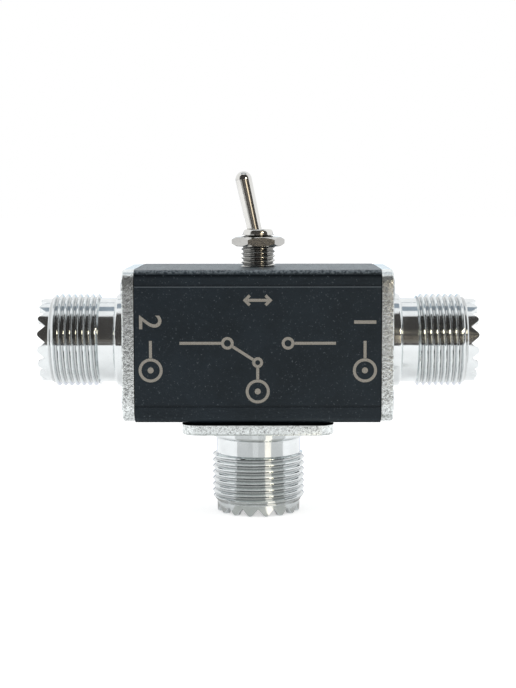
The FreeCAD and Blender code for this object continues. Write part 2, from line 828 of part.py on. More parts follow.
def assembly():
    nodes = {"body_extrusion": body_extrusion()}
    nodes.update(sockets())
    nodes.update({
        "toggle_bushing": toggle_bushing(),
        "toggle_nut": toggle_nut(),
        "lock_washer": lock_washer(),
        "toggle_frame": toggle_frame(),
        "toggle_case": toggle_case(),
        "toggle_lever": toggle_lever(),
        "toggle_plunger": toggle_plunger(),
        "plunger_spring": plunger_spring(),
        "rocker_contact": rocker_contact(),
        "common_terminal": common_terminal(),
        "port_1_terminal": side_terminal(1),
        "port_2_terminal": side_terminal(-1),
        "port_1_wire": side_wire(1),
        "port_2_wire": side_wire(-1),
        "common_wire": common_wire(),
        "solder_joints": solder_joints(),
    })
    return nodes


os.makedirs("parts", exist_ok=True)
for name, shape in assembly().items():
    if not shape.isValid() or not shape.Solids:
        raise ValueError(f"{name} is not a valid solid")
    shape.exportStep(f"parts/{name}.step")
    print(f"{name}: {len(shape.Solids)} solid(s), {shape.Volume:.1f} mm3")
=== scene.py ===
"""Looks of a coaxial antenna switch: turned sockets, cast flanges, screws, toggle, etched marks and finishes.

Everything is in metres, in the packed model's own frame: +Z up, +X out of port 1, -Y the marked front.
"""

import math

import bmesh
import bpy
import numpy as np
from bpy.props import FloatProperty, FloatVectorProperty, IntProperty, PointerProperty
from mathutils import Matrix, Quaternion, Vector


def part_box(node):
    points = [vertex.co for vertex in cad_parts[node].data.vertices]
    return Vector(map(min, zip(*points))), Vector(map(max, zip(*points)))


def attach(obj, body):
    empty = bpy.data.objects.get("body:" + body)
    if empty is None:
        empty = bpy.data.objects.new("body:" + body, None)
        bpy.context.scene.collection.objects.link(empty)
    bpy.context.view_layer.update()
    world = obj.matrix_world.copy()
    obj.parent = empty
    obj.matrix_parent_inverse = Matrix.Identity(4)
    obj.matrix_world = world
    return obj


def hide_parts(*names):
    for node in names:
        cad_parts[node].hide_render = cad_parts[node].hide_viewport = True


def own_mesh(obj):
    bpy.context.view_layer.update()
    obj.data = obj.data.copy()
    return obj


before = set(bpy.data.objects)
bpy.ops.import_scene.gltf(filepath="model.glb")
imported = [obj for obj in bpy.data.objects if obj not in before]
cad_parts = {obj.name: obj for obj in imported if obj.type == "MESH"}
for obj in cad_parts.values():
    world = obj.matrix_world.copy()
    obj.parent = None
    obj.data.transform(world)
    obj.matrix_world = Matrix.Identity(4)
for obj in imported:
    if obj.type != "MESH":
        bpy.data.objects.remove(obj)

bl_info = {
    "name": "Coaxial antenna switch",
    "version": (1, 0, 0),
    "blender": (4, 5, 0),
    "location": "3D Viewport > Sidebar > Antenna Switch",
    "description": "Builds the sockets, flanges, screws, toggle, marks and studio of a coaxial switch",
    "category": "Object",
}

MM = 0.001
SHELL_LOW, SHELL_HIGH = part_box("port_1_shell")
TUBE_LOW, TUBE_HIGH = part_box("body_extrusion")
BUSHING_LOW, BUSHING_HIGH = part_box("toggle_bushing")
MIDDLE_Z = (TUBE_LOW.z + TUBE_HIGH.z) / 2
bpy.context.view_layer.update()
CLEAR = 0.02 * MM         # small step that keeps two faces out of one plane
TUBE_WALL = 1.5 * MM      # thickness of the body's walls

# Each port: where its flange's back is centred, its local x, y and outward axes in the row frame, the turn of
# its teeth from a tooth that faces the front, and the turns of its screws' recesses, in degrees.
PORTS = {
    "port_1": ((TUBE_HIGH.x, 0, MIDDLE_Z), ((0, 0, -1), (0, 1, 0), (1, 0, 0)), 10.75, (22, 71, 8, 49)),
    "port_2": ((TUBE_LOW.x, 0, MIDDLE_Z), ((0, 0, 1), (0, 1, 0), (-1, 0, 0)), 13.15, (35, 3, 64, 80)),
    "common": ((0, 0, TUBE_LOW.z), ((-1, 0, 0), (0, 1, 0), (0, 0, -1)), 11.25, (15, 57, 40, 76)),
}


# --- Sizes and colours that can be changed ---

def length(name, millimetres, description):
    """A length property, with its default given in millimetres."""
    return FloatProperty(name=name, description=description, default=millimetres * MM, min=0.0,
                         unit="LENGTH", subtype="DISTANCE", precision=5)


def amount(name, value, description):
    """A plain number, never under 0."""
    return FloatProperty(name=name, description=description, default=value, min=0.0)


def tint(name, colour, description):
    """A colour property from linear red, green and blue."""
    return FloatVectorProperty(name=name, description=description, default=colour, size=3, min=0.0, max=1.0,
                               subtype="COLOR")


class SocketSizes(bpy.types.PropertyGroup):
    """Sizes of the three threaded sockets."""

    flange_side: length("Flange side", 2 * SHELL_HIGH.y / MM, "Side of the square flange")
    reach: length("Reach", (SHELL_HIGH.x - SHELL_LOW.x) / MM, "From the flange's back to the teeth's tips")
    flange_thickness: length("Flange thickness", 2.15, "Thickness of the cast flange")
    flange_corner: length("Flange corner", 2.6, "Radius of the flange's corners")
    flange_rounding: length("Flange edge", 0.32, "Rounding of the flange's front edge")
    flange_gap: length("Gap height", 0.42, "Height of the rebate round the common flange's back")
    side_gap: length("Side gap height", 0.12, "Height of the same rebate at the two side ports")
    gap_depth: length("Gap depth", 1.0, "Depth of the rebate")
    collar_radius: length("Collar radius", 8.0, "Radius of the collar at the flange")
    collar_length: length("Collar length", 1.85, "Length of the collar")
    collar_rounding: length("Collar rounding", 0.5, "Rounding of the collar's end")
    barrel_radius: length("Barrel radius", 7.28, "Radius of the smooth barrel")
    barrel_length: length("Barrel length", 2.7, "Length of the smooth barrel")
    thread_radius: length("Thread radius", 7.94, "Radius over the thread's crests")
    thread_length: length("Thread length", 8.5, "Length of the thread")
    thread_pitch: length("Thread pitch", 25.4 / 24, "Advance of the thread in one turn")
    thread_depth: length("Thread depth", 0.5, "Depth of the groove")
    thread_crest: length("Thread crest", 0.26, "Width of the flat crest")
    thread_lead_in: length("Thread lead-in", 0.85, "Length of the taper at the thread's outer end")
    tooth_radius: length("Tooth ring radius", 7.15, "Outside radius of the toothed ring")
    tooth_rounding: length("Tooth rounding", 0.6, "Radius of the teeth's tips")
    bore: length("Bore", 6.05, "Inside radius of the socket")
    bore_end: length("Bore end", 5.55, "From the flange's back to the end of the bore")
    teeth: IntProperty(name="Teeth", description="Teeth around the mouth", default=16, min=3)
    columns_per_tooth: IntProperty(name="Columns per tooth", description="Mesh columns in one tooth",
                                   default=12, min=4)
    tooth_angle: FloatProperty(name="Valley angle", description="Angle between the sides of a valley",
                               default=math.radians(80), subtype="ANGLE")
    screw_offset: length("Screw offset", 9.3, "From the socket's axis to each screw, along both sides")
    screw_head_radius: length("Screw head radius", 2.75, "Radius of the raised head")
    screw_rise: length("Screw head rise", 0.4, "Height of the head's crown over the flange")
    shank_radius: length("Screw shank radius", 1.5, "Radius of the shank")
    recess_length: length("Recess length", 3.0, "Length of each arm pair of the cross recess")
    recess_width: length("Recess width", 0.6, "Width of the cross recess")
    recess_depth: length("Recess depth", 0.8, "Depth of the cross recess")


class ToggleSizes(bpy.types.PropertyGroup):
    """Sizes of the toggle's bushing."""

    bushing_radius: length("Bushing radius", 2.95, "Radius over the bushing's thread")
    bushing_pitch: length("Bushing pitch", 0.75, "Advance of the bushing's thread in one turn")
    bushing_depth: length("Bushing thread depth", 0.34, "Depth of the bushing's thread")
    bushing_crest: length("Bushing crest", 0.12, "Width of the flat crest")
    rim_radius: length("Rim radius", 2.6, "Radius of the smooth rim over the thread")
    rim_length: length("Rim length", 1.0, "Length of the rim")
    mouth_radius: length("Mouth radius", 2.25, "Radius of the mouth")
    lip_radius: length("Lip radius", 1.74, "Smallest radius inside, which holds the ball")
    lip_depth: length("Lip depth", 1.1, "From the mouth to the lip")
    base_thickness: length("Base thickness", 1.0, "Thickness of the base under the bushing")


class MarkSizes(bpy.types.PropertyGroup):
    """Sizes and places of the etched marks on the front."""

    stroke: length("Stroke", 0.48, "Width of the etched lines")
    thickness: length("Thickness", 0.012, "How far the marks stand proud")
    numeral_height: length("Numeral height", 3.7, "Height of the port numbers")
    numeral_distance: length("Numeral distance", 17.7, "From the middle to each port number")
    numeral_lift: length("Numeral lift", 4.1, "From the body's middle up to each port number")
    symbol_radius: length("Port symbol radius", 1.75, "Radius of the ring that stands for a coaxial port")


class FinishColours(bpy.types.PropertyGroup):
    """Colours of the finishes."""

    anodised: tint("Anodised black", (0.0080, 0.0125, 0.0175), "Blasted and anodised tube")
    turned: tint("Turned nickel", (0.84, 0.875, 0.885), "Turned and plated barrels")
    cast: tint("Cast nickel", (0.81, 0.85, 0.85), "Rough cast and plated flanges")
    toggle: tint("Toggle nickel", (0.78, 0.775, 0.75), "Bushing, nut and lever")
    screw: tint("Bright zinc", (0.70, 0.72, 0.74), "Flange screws")
    insulator: tint("Insulator", (0.80, 0.79, 0.75), "White insulators")
    etched: tint("Etched marks", (0.33, 0.31, 0.27), "Marks on the front")


class StudioSettings(bpy.types.PropertyGroup):
    """Camera and light."""

    camera_distance: length("Camera distance", 260.0, "From the body's middle to the camera, along Y")
    camera_rise: length("Camera rise", 24.3, "Height of the camera over the body's middle")
    camera_side: length("Camera side", 2.03, "How far the camera stands to the right")
    camera_roll: FloatProperty(name="Camera roll", description="Turn of the camera about its own view",
                               default=-0.00134, subtype="ANGLE")
    aim_drop: length("Aim drop", 0.74, "How far under the body's middle the camera aims")
    lens: amount("Lens", 78.85, "Focal length on a 36 mm frame, in millimetres")
    sky: amount("Sky", 0.75, "Strength of the light from all round")
    top_lamp: amount("Top lamp", 1.6, "Power of the lamp overhead, in watts")
    side_lamp: amount("Side lamps", 0.9, "Power of each side lamp, in watts")


# --- Meshes from grids of points ---

def quads_of(rows, columns, first=0):
    """Corners of the quads of a grid whose points are numbered from first: quad (i, j), (i, j+1), (i+1, j+1),
    (i+1, j) for each row i and column j."""
    index = first + np.arange(rows * columns).reshape(rows, columns)
    return np.stack([index[:-1, :-1], index[:-1, 1:], index[1:, 1:], index[1:, :-1]], -1).reshape(-1, 4)


def linked(name, data):
    """A new object in the scene, at the origin."""
    made = bpy.data.objects.new(name, data)
    bpy.context.scene.collection.objects.link(made)
    return made


def close_up(mesh):
    """Merge points closer than a micrometre, which closes seams and poles, and turn the faces outwards."""
    shape = bmesh.new()
    shape.from_mesh(mesh)
    bmesh.ops.remove_doubles(shape, verts=shape.verts, dist=1e-6)
    bmesh.ops.recalc_face_normals(shape, faces=shape.faces)
    if any(not edge.is_manifold for edge in shape.edges):
        raise RuntimeError(f"{mesh.name} isn't closed")
    shape.to_mesh(mesh)
    shape.free()


def closed_piece(name, grids, body, material, sharp=35.0, replaces=()):
    """One closed mesh from several grids of points.

    Each grid is (points, uv), both of shape (rows, columns, 3). The last of uv, 0 to 1, is how deep the point
    lies in a groove, or 1 in a rebate, and becomes the mesh's attribute "groove", which sets the finish's
    painted shade."""
    points = np.concatenate([grid.reshape(-1, 3) for grid, _ in grids])
    uvs = np.concatenate([uv.reshape(-1, 3) for _, uv in grids])
    firsts = np.cumsum([0] + [grid.shape[0] * grid.shape[1] for grid, _ in grids])
    quads = np.concatenate([quads_of(*grid.shape[:2], first) for (grid, _), first in zip(grids, firsts)])
    mesh = bpy.data.meshes.new(name)
    mesh.from_pydata(points.tolist(), [], quads.tolist())
    layer = mesh.uv_layers.new(name="surface")
    layer.data.foreach_set("uv", uvs[quads.ravel(), :2].astype(np.float32).ravel())
    mesh.attributes.new("groove", "FLOAT", "POINT").data.foreach_set("value", uvs[:, 2].astype(np.float32))
    close_up(mesh)
    mesh.shade_smooth()
    mesh.set_sharp_from_angle(angle=math.radians(sharp))
    mesh.materials.append(material)
    piece = linked(name, mesh)
    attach(piece, body)
    if replaces:
        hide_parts(*replaces)
    return piece


def grid_of(x, y, z, u=None, v=None, groove=0.0):
    """Grid from coordinate arrays that broadcast together; u and v default to the row and column shares."""
    x, y, z = np.broadcast_arrays(x, y, z)
    rows, columns = x.shape
    u = np.linspace(0, 1, columns)[None, :] if u is None else u
    v = np.linspace(0, 1, rows)[:, None] if v is None else v
    u, v, groove = np.broadcast_arrays(u, v + 0 * x, groove)
    return np.stack([x, y, z], -1), np.stack([u, v, groove], -1)


def port_piece(port, kind, grids, material, replaced, sharp=35.0):
    """A closed piece given in a port's own frame, +Z outward from the flange's back, in place of one of the
    port's CAD nodes. Its points in the row frame are base + xX + yY + zZ."""
    base, axes = PORTS[port][:2]
    moved = [(np.array(base) + points @ np.array(axes, float), uv) for points, uv in grids]
    closed_piece(f"{port}_{kind}", moved, "housing", material, sharp, [f"{port}_{replaced}"])


def around(profile_r, profile_z, angles, groove=0.0):
    """Surface turned about Z: (r cos a, r sin a, z). Rows follow the profile, and r and z may vary with a.

    The UV map is in metres: distance round the axis, and distance along the profile."""
    r, z = np.broadcast_arrays(profile_r, profile_z)
    step = np.hypot(np.diff(r, axis=0), np.diff(z, axis=0)).mean(1)
    along = np.concatenate([[0], np.cumsum(step)])[:, None]
    return grid_of(r * np.cos(angles), r * np.sin(angles), z, angles * np.abs(r).max(), along, groove)


def circle(columns, turn=0.0):
    """Angles once round from turn, the last a copy of the first in place, so that a seam merges exactly."""
    return (turn + np.arange(columns + 1) / columns * 2 * np.pi)[None, :]


def rows(*pairs):
    """Column arrays of r and z from (r, z) pairs."""
    table = np.array(pairs, float)
    return table[:, :1], table[:, 1:]


def stacked(parts, angles):
    """Radius and height of all the rows of several (r, z) parts, at every angle."""
    return (np.concatenate([part * np.ones_like(angles) for part in column]) for column in zip(*parts))


def helical_rows(z0, z1, pitch, radius, depth, crest, columns, start_radius, end_radius, run_in, run_out):
    """Rows of a right-hand thread: z = z0 + (n + f - 1 + a/2pi) pitch, for turn n, share f of it, angle a.

    The profile has a narrow root, sides at 30 degrees from square, and a flat crest with eased corners. z is
    held between z0 and z1, and r under a taper to start_radius over run_in and to end_radius over run_out."""
    slope = math.tan(math.radians(30))
    side = depth * slope
    root = (pitch - crest - 2 * side) / 2
    ease = min(0.045 * MM, crest / 3)
    back = ease / slope
    marks = np.array([0, root, root + side - ease, root + side + ease,
                      root + side + crest - ease, root + side + crest + ease, pitch - root]) / pitch
    radii = np.array([radius - depth, radius - depth, radius - back, radius,
                      radius, radius - back, radius - depth])
    turns = int(math.ceil((z1 - z0) / pitch)) + 1
    share = (np.arange(turns)[:, None] + marks[None, :]).ravel()
    share = np.append(share, turns)[:, None]
    profile = np.append(np.tile(radii, turns), radii[0])[:, None]
    turn = np.arange(columns + 1)[None, :] / columns
    z = np.clip(z0 + (share - 1 + turn) * pitch, z0, z1)
    lift = start_radius + (z - z0) / run_in * (radius - start_radius)
    fall = end_radius + (z1 - z) / run_out * (radius - end_radius)
    return np.minimum(np.minimum(profile, lift), fall), z


# --- Sockets ---

def tooth_depth(s):
    """Depth of the valleys: half the pitch over tan(half angle), less the R / sin - R that the tip loses."""
    half = s.tooth_angle / 2
    return (s.tooth_radius * math.sin(math.pi / s.teeth) / math.tan(half)
            - s.tooth_rounding * (1 / math.sin(half) - 1))


def tooth_top(s, radius, angle_from_tip):
    """Height of the mouth at a radius: straight sides w / tan(half angle) up from each valley, w being the
    distance r sin b from it, into a round tip of radius R that touches both sides."""
    pitch, half, tip = 2 * np.pi / s.teeth, s.tooth_angle / 2, s.tooth_rounding
    from_tip = np.abs((angle_from_tip + pitch / 2) % pitch - pitch / 2)
    side = radius * np.sin(pitch / 2 - from_tip) / math.tan(half)
    across = np.minimum(radius * np.sin(from_tip), tip * math.cos(half))
    rounded = np.sqrt(tip ** 2 - across ** 2) - tip
    depth = tooth_depth(s)
    inside = radius * np.sin(from_tip) < tip * math.cos(half)
    return s.reach - depth + np.where(inside, depth + rounded, np.minimum(side, depth))


def socket_barrel(s, tooth_turn):
    """Collar, barrel, thread and toothed ring as one turned surface, closed through the bore."""
    columns = s.teeth * s.columns_per_tooth
    angles = circle(columns, math.radians(tooth_turn))
    from_tip = angles - math.radians(tooth_turn)
    foot = s.flange_thickness / 2
    collar_end = s.flange_thickness + s.collar_length
    barrel_end = collar_end + s.barrel_length
    thread_end = barrel_end + s.thread_length
    bend = np.radians(np.linspace(0, 90, 7))[:, None]
    fillet, edge = 0.12 * MM, 0.1 * MM
    run_in, plain_end = 0.22 * MM, 0.2 * MM
    inside = s.bore + CLEAR
    parts = [
        rows((inside, foot), (s.collar_radius, foot)),
        (s.collar_radius - s.collar_rounding * (1 - np.cos(bend)),
         collar_end - s.collar_rounding * (1 - np.sin(bend))),
        rows((s.barrel_radius + fillet, collar_end), (s.barrel_radius, collar_end + fillet),
             (s.barrel_radius, barrel_end - plain_end)),
        helical_rows(barrel_end, thread_end, s.thread_pitch, s.thread_radius, s.thread_depth, s.thread_crest,
                     columns, s.barrel_radius, s.tooth_radius, run_in, s.thread_lead_in),
    ]
    outer = tooth_top(s, s.tooth_radius - edge, from_tip)
    share = np.array([0.04, 0.3, 0.6, 0.85, 1.0])[:, None]
    parts.append((np.full_like(share, s.tooth_radius), thread_end + share * (outer - edge - thread_end)))
    for radius in (s.tooth_radius - edge, (s.tooth_radius + s.bore) / 2, s.bore + edge):
        parts.append((np.array([[radius]]), tooth_top(s, radius, from_tip)))
    parts.append((np.array([[s.bore]]), tooth_top(s, s.bore + edge, from_tip) - edge))
    below_teeth = s.reach - tooth_depth(s) - 0.6 * MM
    parts.append(rows((inside, below_teeth), (inside, s.bore_end), (inside, foot)))
    radius, height = stacked(parts, angles)
    # share of painted shade in the thread's grooves, from the depth under the crests
    in_thread = (height > barrel_end) & (height < thread_end) & (radius > s.barrel_radius)
    groove = np.where(in_thread, np.clip((s.thread_radius - radius) / s.thread_depth, 0, 1), 0.0)
    return [around(radius, height, angles, groove)]


def flange_outline(side, corner, disc):
    """One quarter of the flange, as the edge of the region round its screw, from (side, 0) back to it.

    Gives the points, the outward directions of those on the outline (side, corner arc, side), and which of
    the points lie on the outline and on the middle hole."""
    straight = np.linspace(0, 1, 9)[:, None]
    turn = np.radians(np.linspace(0, 90, 9))[:, None]
    inner = side - corner
    right = np.hstack([np.full_like(straight, side), straight * inner])
    outward = np.hstack([np.cos(turn), np.sin(turn)])
    top = right[::-1, ::-1]
    left = np.hstack([0 * straight[:6], side + (disc - side) * np.linspace(0, 1, 6)[:, None]])
    bend = np.radians(np.linspace(90, 0, 13))[:, None]
    hole = disc * np.hstack([np.cos(bend), np.sin(bend)])
    edge = np.vstack([right[:-1], inner + corner * outward, top[1:]])
    normal = np.vstack([np.tile([1.0, 0.0], (8, 1)), outward, np.tile([0.0, 1.0], (8, 1))])
    points = np.vstack([edge, left[1:], hole[1:], left[-2::-1, ::-1]])
    hole_start = len(edge) + len(left) - 2
    return points, normal, slice(len(edge)), slice(hole_start, hole_start + len(hole))


def cast_waves(points):
    """Shallow waves of a cast edge, 0 to 1: the mean of three crossing sines of x, y and z in millimetres."""
    x, y, z = (points[..., i] / MM for i in range(3))
    return 0.5 + (np.sin(1.9 * x + 1.3 * z) + np.sin(2.7 * y - 1.1 * x) + np.sin(4.3 * (x - y) + 2.1 * z)) / 6


def socket_flange(s, gap):
    """Square flange with four countersinks: four mirrored quarters ruled from each screw's hole to its edge,
    a rounded, worn rim that follows the outline's outward direction down to a rebate of height gap at the
    back, and the wall of the middle hole."""
    half, ease, disc = s.flange_side / 2, s.flange_rounding, s.collar_radius - 0.4 * MM
    front, centre = s.flange_thickness, np.array([s.screw_offset, s.screw_offset])
    loop, outward, on_edge, on_hole = flange_outline(half - ease, s.flange_corner - ease, disc)
    spoke = loop - centre
    spoke = spoke / np.linalg.norm(spoke, axis=1, keepdims=True)
    seat, head = front - (s.screw_head_radius - s.shank_radius), s.screw_head_radius + 2 * CLEAR
    inner = [(0 * spoke, seat), (s.shank_radius * spoke, seat), (head * spoke, front)]
    share = np.linspace(0, 1, 5)[1:, None, None]
    face = np.concatenate([np.stack([p for p, _ in inner]) + centre,
                           (centre + head * spoke) * (1 - share) + loop * share])
    face_z = np.array([z for _, z in inner] + [front] * 4)[:, None]
    alpha = np.radians(np.linspace(0, 90, 6))
    deep, lip, wear = ease - s.gap_depth, 0.05 * MM, 0.035 * MM
    reach = np.concatenate([ease * np.sin(alpha), [ease, ease, deep, deep]])[:, None]
    height = np.concatenate([front - ease * (1 - np.cos(alpha)), [gap + lip, gap, gap, 0]])[:, None]
    worn = np.concatenate([0.03 * MM * np.sin(alpha[:3]), [wear] * 5, [0.0] * 2])[:, None]
    # painted shade: the rebate's rows are marked for black painted shade, as in a deep gap
    rebate_shade = np.array([0.0] * 7 + [1.0] * 3)[:, None]
    edge, hole = loop[on_edge], loop[on_hole]
    grids = []
    for flip in (np.array([sx, sy]) for sx in (1, -1) for sy in (1, -1)):
        x, y = np.moveaxis(face * flip, -1, 0)
        grids.append(grid_of(x, y, face_z, x, y))
        x, y = (edge * flip).T
        push = reach - worn * cast_waves(np.stack(np.broadcast_arrays(x[None], y[None], height), -1))
        rim_points = (edge * flip)[None] + push[..., None] * outward[None] * flip
        x, y = np.moveaxis(rim_points, -1, 0)
        grids.append(grid_of(x, y, height, groove=rebate_shade))
        rim = loop * flip
        rim[on_edge], rim[-1] = rim_points[-1], rim_points[-1, 0]
        x, y = np.moveaxis(np.stack([0 * rim + centre * flip, (centre * flip + rim) / 2, rim]), -1, 0)
        # the back, against the body, is marked for the same black painted shade
        grids.append(grid_of(x, y, np.zeros((3, 1)), x, y, groove=1.0))
        x, y = (hole * flip).T
        grids.append(grid_of(x[None], y[None], np.array([[front], [0.0]])))
    return grids


RECESS_TAPER = 0.72    # width of a cross recess at its floor, and at its arms' tips, as a share of its width


def turned_by(angle):
    """Matrix that turns rows of (x, y) by an angle."""
    return np.array([[np.cos(angle), np.sin(angle)], [-np.sin(angle), np.cos(angle)]])


def cross_outline(s):
    """Outline of the cross recess once round: an eighth and its mirror image, turned four times."""
    long, wide = s.recess_length / 2, s.recess_width / 2
    bend, tip = 0.2 * MM, 0.03 * MM
    side = long - bend + (wide - long + bend) * np.linspace(0, 1, 6)
    eighth = np.column_stack([np.concatenate([[long, long - tip], side]),
                              np.concatenate([[0, wide * RECESS_TAPER], np.full(6, wide)])])
    quarter = np.vstack([eighth, eighth[-2:0:-1, ::-1]])
    return np.vstack([quarter @ turned_by(t) for t in np.arange(4) * np.pi / 2] + [eighth[:1]])


def flange_screws(s, turns):
    """Four raised countersunk heads: rings between the cross outline and the head's circle, on the sphere
    z = crown - r^2 / 2R, with R = (head^2 + rise^2) / (2 rise)."""
    cross = cross_outline(s)
    direction = cross / np.linalg.norm(cross, axis=1, keepdims=True)
    crown = s.flange_thickness + s.screw_rise
    head = s.screw_head_radius
    ball = (head ** 2 + s.screw_rise ** 2) / (2 * s.screw_rise)
    floor = crown - s.recess_depth
    edge = 0.06 * MM

    def dome(points):
        return crown - ball + np.sqrt(ball ** 2 - (points ** 2).sum(-1))

    rings = [(0 * cross, floor - 0.15 * MM), (cross * RECESS_TAPER, floor)]
    rings += [(cross, dome(cross) - edge), (cross + direction * edge, None)]
    rings += [((cross + direction * edge) * (1 - t) + direction * (head - 0.1 * MM) * t, None)
              for t in (0.25, 0.5, 0.75, 1.0)]
    seat = s.flange_thickness - (head - s.shank_radius) + 0.03 * MM
    rings += [(direction * head, s.flange_thickness - CLEAR), (direction * s.shank_radius, seat),
              (0 * cross, seat)]
    flat = np.stack([p for p, _ in rings])
    height = np.stack([dome(p) if z is None else z + 0 * p[:, 0] for p, z in rings])
    grids = []
    places = [(i, j) for i in (-1, 1) for j in (-1, 1)]
    for (i, j), turn in zip(places, np.radians(turns)):
        x, y = np.moveaxis(flat @ turned_by(turn) + s.screw_offset * np.array([i, j]), -1, 0)
        grids.append(grid_of(x, y, height, flat[..., 0], flat[..., 1]))
    return grids


class BuildSocketBarrels(bpy.types.Operator):
    """Build the turned, threaded and toothed barrel of each socket"""

    bl_idname = "antenna_switch.build_socket_barrels"
    bl_label = "Socket barrels"

    def execute(self, context):
        sizes = context.scene.antenna_switch_sockets
        for port, (*_, tooth_turn, _) in PORTS.items():
            grids = socket_barrel(sizes, tooth_turn)
            port_piece(port, "barrel", grids, turned_nickel(), "shell")
        return {"FINISHED"}


class BuildSocketFlanges(bpy.types.Operator):
    """Build the cast flange of each socket"""

    bl_idname = "antenna_switch.build_socket_flanges"
    bl_label = "Socket flanges"

    def execute(self, context):
        sizes = context.scene.antenna_switch_sockets
        for port in PORTS:
            grids = socket_flange(sizes, sizes.flange_gap if port == "common" else sizes.side_gap)
            port_piece(port, "flange", grids, cast_nickel(), "shell", sharp=50.0)
        return {"FINISHED"}


class BuildFlangeScrews(bpy.types.Operator):
    """Build the raised countersunk screws of each flange"""

    bl_idname = "antenna_switch.build_flange_screws"
    bl_label = "Flange screws"

    def execute(self, context):
        sizes = context.scene.antenna_switch_sockets
        for port, (*_, screw_turns) in PORTS.items():
            grids = flange_screws(sizes, screw_turns)
            port_piece(port, "screw_heads", grids, bright_zinc(), "screws")
        return {"FINISHED"}


# --- Toggle ---

def bushing_surface(s):
    """Threaded bushing turned about Z, with its rim, mouth and lip, closed at the bottom by its base."""
    columns = 96
    angles = circle(columns)
    top, base = BUSHING_HIGH.z, BUSHING_LOW.z + s.base_thickness
    foot = TUBE_HIGH.z - TUBE_WALL
    rim, collar = top - s.rim_length, s.rim_radius + 0.2 * MM
    run, undercut = 0.3 * MM, s.rim_radius - 0.5 * MM
    rounding_in, rounding_down = 0.35 * MM, 0.80 * MM
    bend = np.radians(np.linspace(0, 90, 5))[:, None]
    parts = [
        rows((s.lip_radius, base), (s.bushing_radius, base), (s.bushing_radius, foot - CLEAR)),
        helical_rows(foot, rim, s.bushing_pitch, s.bushing_radius, s.bushing_depth, s.bushing_crest, columns,
                     s.bushing_radius - s.bushing_depth, undercut, run, run),
        rows((collar, rim + CLEAR), (collar, rim + 0.14 * MM), (s.rim_radius, rim + 0.16 * MM)),
        (s.rim_radius - rounding_in * (1 - np.cos(bend)), top - rounding_down * (1 - np.sin(bend))),
        rows((s.mouth_radius, top), (s.lip_radius, top - s.lip_depth), (s.lip_radius, base)),
    ]
    radius, height = stacked(parts, angles)
    # share of painted shade in the bushing thread's grooves, deepest at the root
    groove = np.clip((s.bushing_radius - 0.05 * MM - radius) / (s.bushing_depth - 0.1 * MM), 0, 1)
    groove = groove * (height > foot) * (height < rim)
    return [around(radius, height, angles, groove)]


class BuildToggleBushing(bpy.types.Operator):
    """Build the toggle's threaded bushing and its base"""

    bl_idname = "antenna_switch.build_toggle_bushing"
    bl_label = "Toggle bushing"

    def execute(self, context):
        sizes = context.scene.antenna_switch_toggle
        # 0.33 is the colour factor of the painted shade in the bushing thread's grooves
        finish = toggle_nickel("bushing_nickel", 1.0, 0.33)
        closed_piece("toggle_bushing_thread", bushing_surface(sizes), "housing", finish,
                     replaces=["toggle_bushing"])
        return {"FINISHED"}


# --- Etched marks ---

def ribbon(points, width, y_front, y_back, shut=False):
    """Flat line of one width through points (x, z), closed front, back and sides.

    Each side is the point plus or minus half the width along the local normal, lengthened at bends."""
    points = np.array(points, float)
    if shut:
        ahead, behind = np.roll(points, -1, 0) - points, points - np.roll(points, 1, 0)
    else:
        step = np.diff(points, axis=0)
        ahead, behind = np.vstack([step, step[-1:]]), np.vstack([step[:1], step])
    ahead, behind = (d / np.linalg.norm(d, axis=1, keepdims=True) for d in (ahead, behind))
    mean = ahead + behind
    mean /= np.linalg.norm(mean, axis=1, keepdims=True)
    normal = np.column_stack([-mean[:, 1], mean[:, 0]])
    stretch = 1 / np.maximum((mean * ahead).sum(1), 0.5)
    offset = normal * (stretch * width / 2)[:, None]
    left, right = points + offset, points - offset
    ring = np.stack([left, right, right, left, left])
    y = np.array([y_front, y_front, y_back, y_back, y_front])[:, None] + 0 * ring[..., 0]
    if shut:
        ring, y = (np.concatenate([a, a[:, :1]], 1) for a in (ring, y))
        return [grid_of(ring[..., 0], y, ring[..., 1])]
    grids = [grid_of(ring[..., 0], y, ring[..., 1])]
    for end in (0, -1):
        cap = np.stack([left[end], right[end]])
        x, z = (np.repeat(cap[None, :, i], 2, 0) for i in (0, 1))
        grids.append(grid_of(x, np.array([[y_front], [y_back]]) + 0 * x, z))
    return grids


def ring_points(centre, radius, count=48):
    """Points round a circle in the front plane."""
    a = np.arange(count) / count * 2 * np.pi
    return np.column_stack([centre[0] + radius * np.cos(a), centre[1] + radius * np.sin(a)])


def disc(centre, radius, y_front, y_back):
    """Closed flat disc: rings at r = 0, R, R, 0 on the front and back planes."""
    a = circle(32)
    r = np.array([[0], [radius], [radius], [0]])
    y = np.array([[y_front], [y_front], [y_back], [y_back]])
    return grid_of(centre[0] + r * np.cos(a), y + 0 * a, centre[1] + r * np.sin(a))


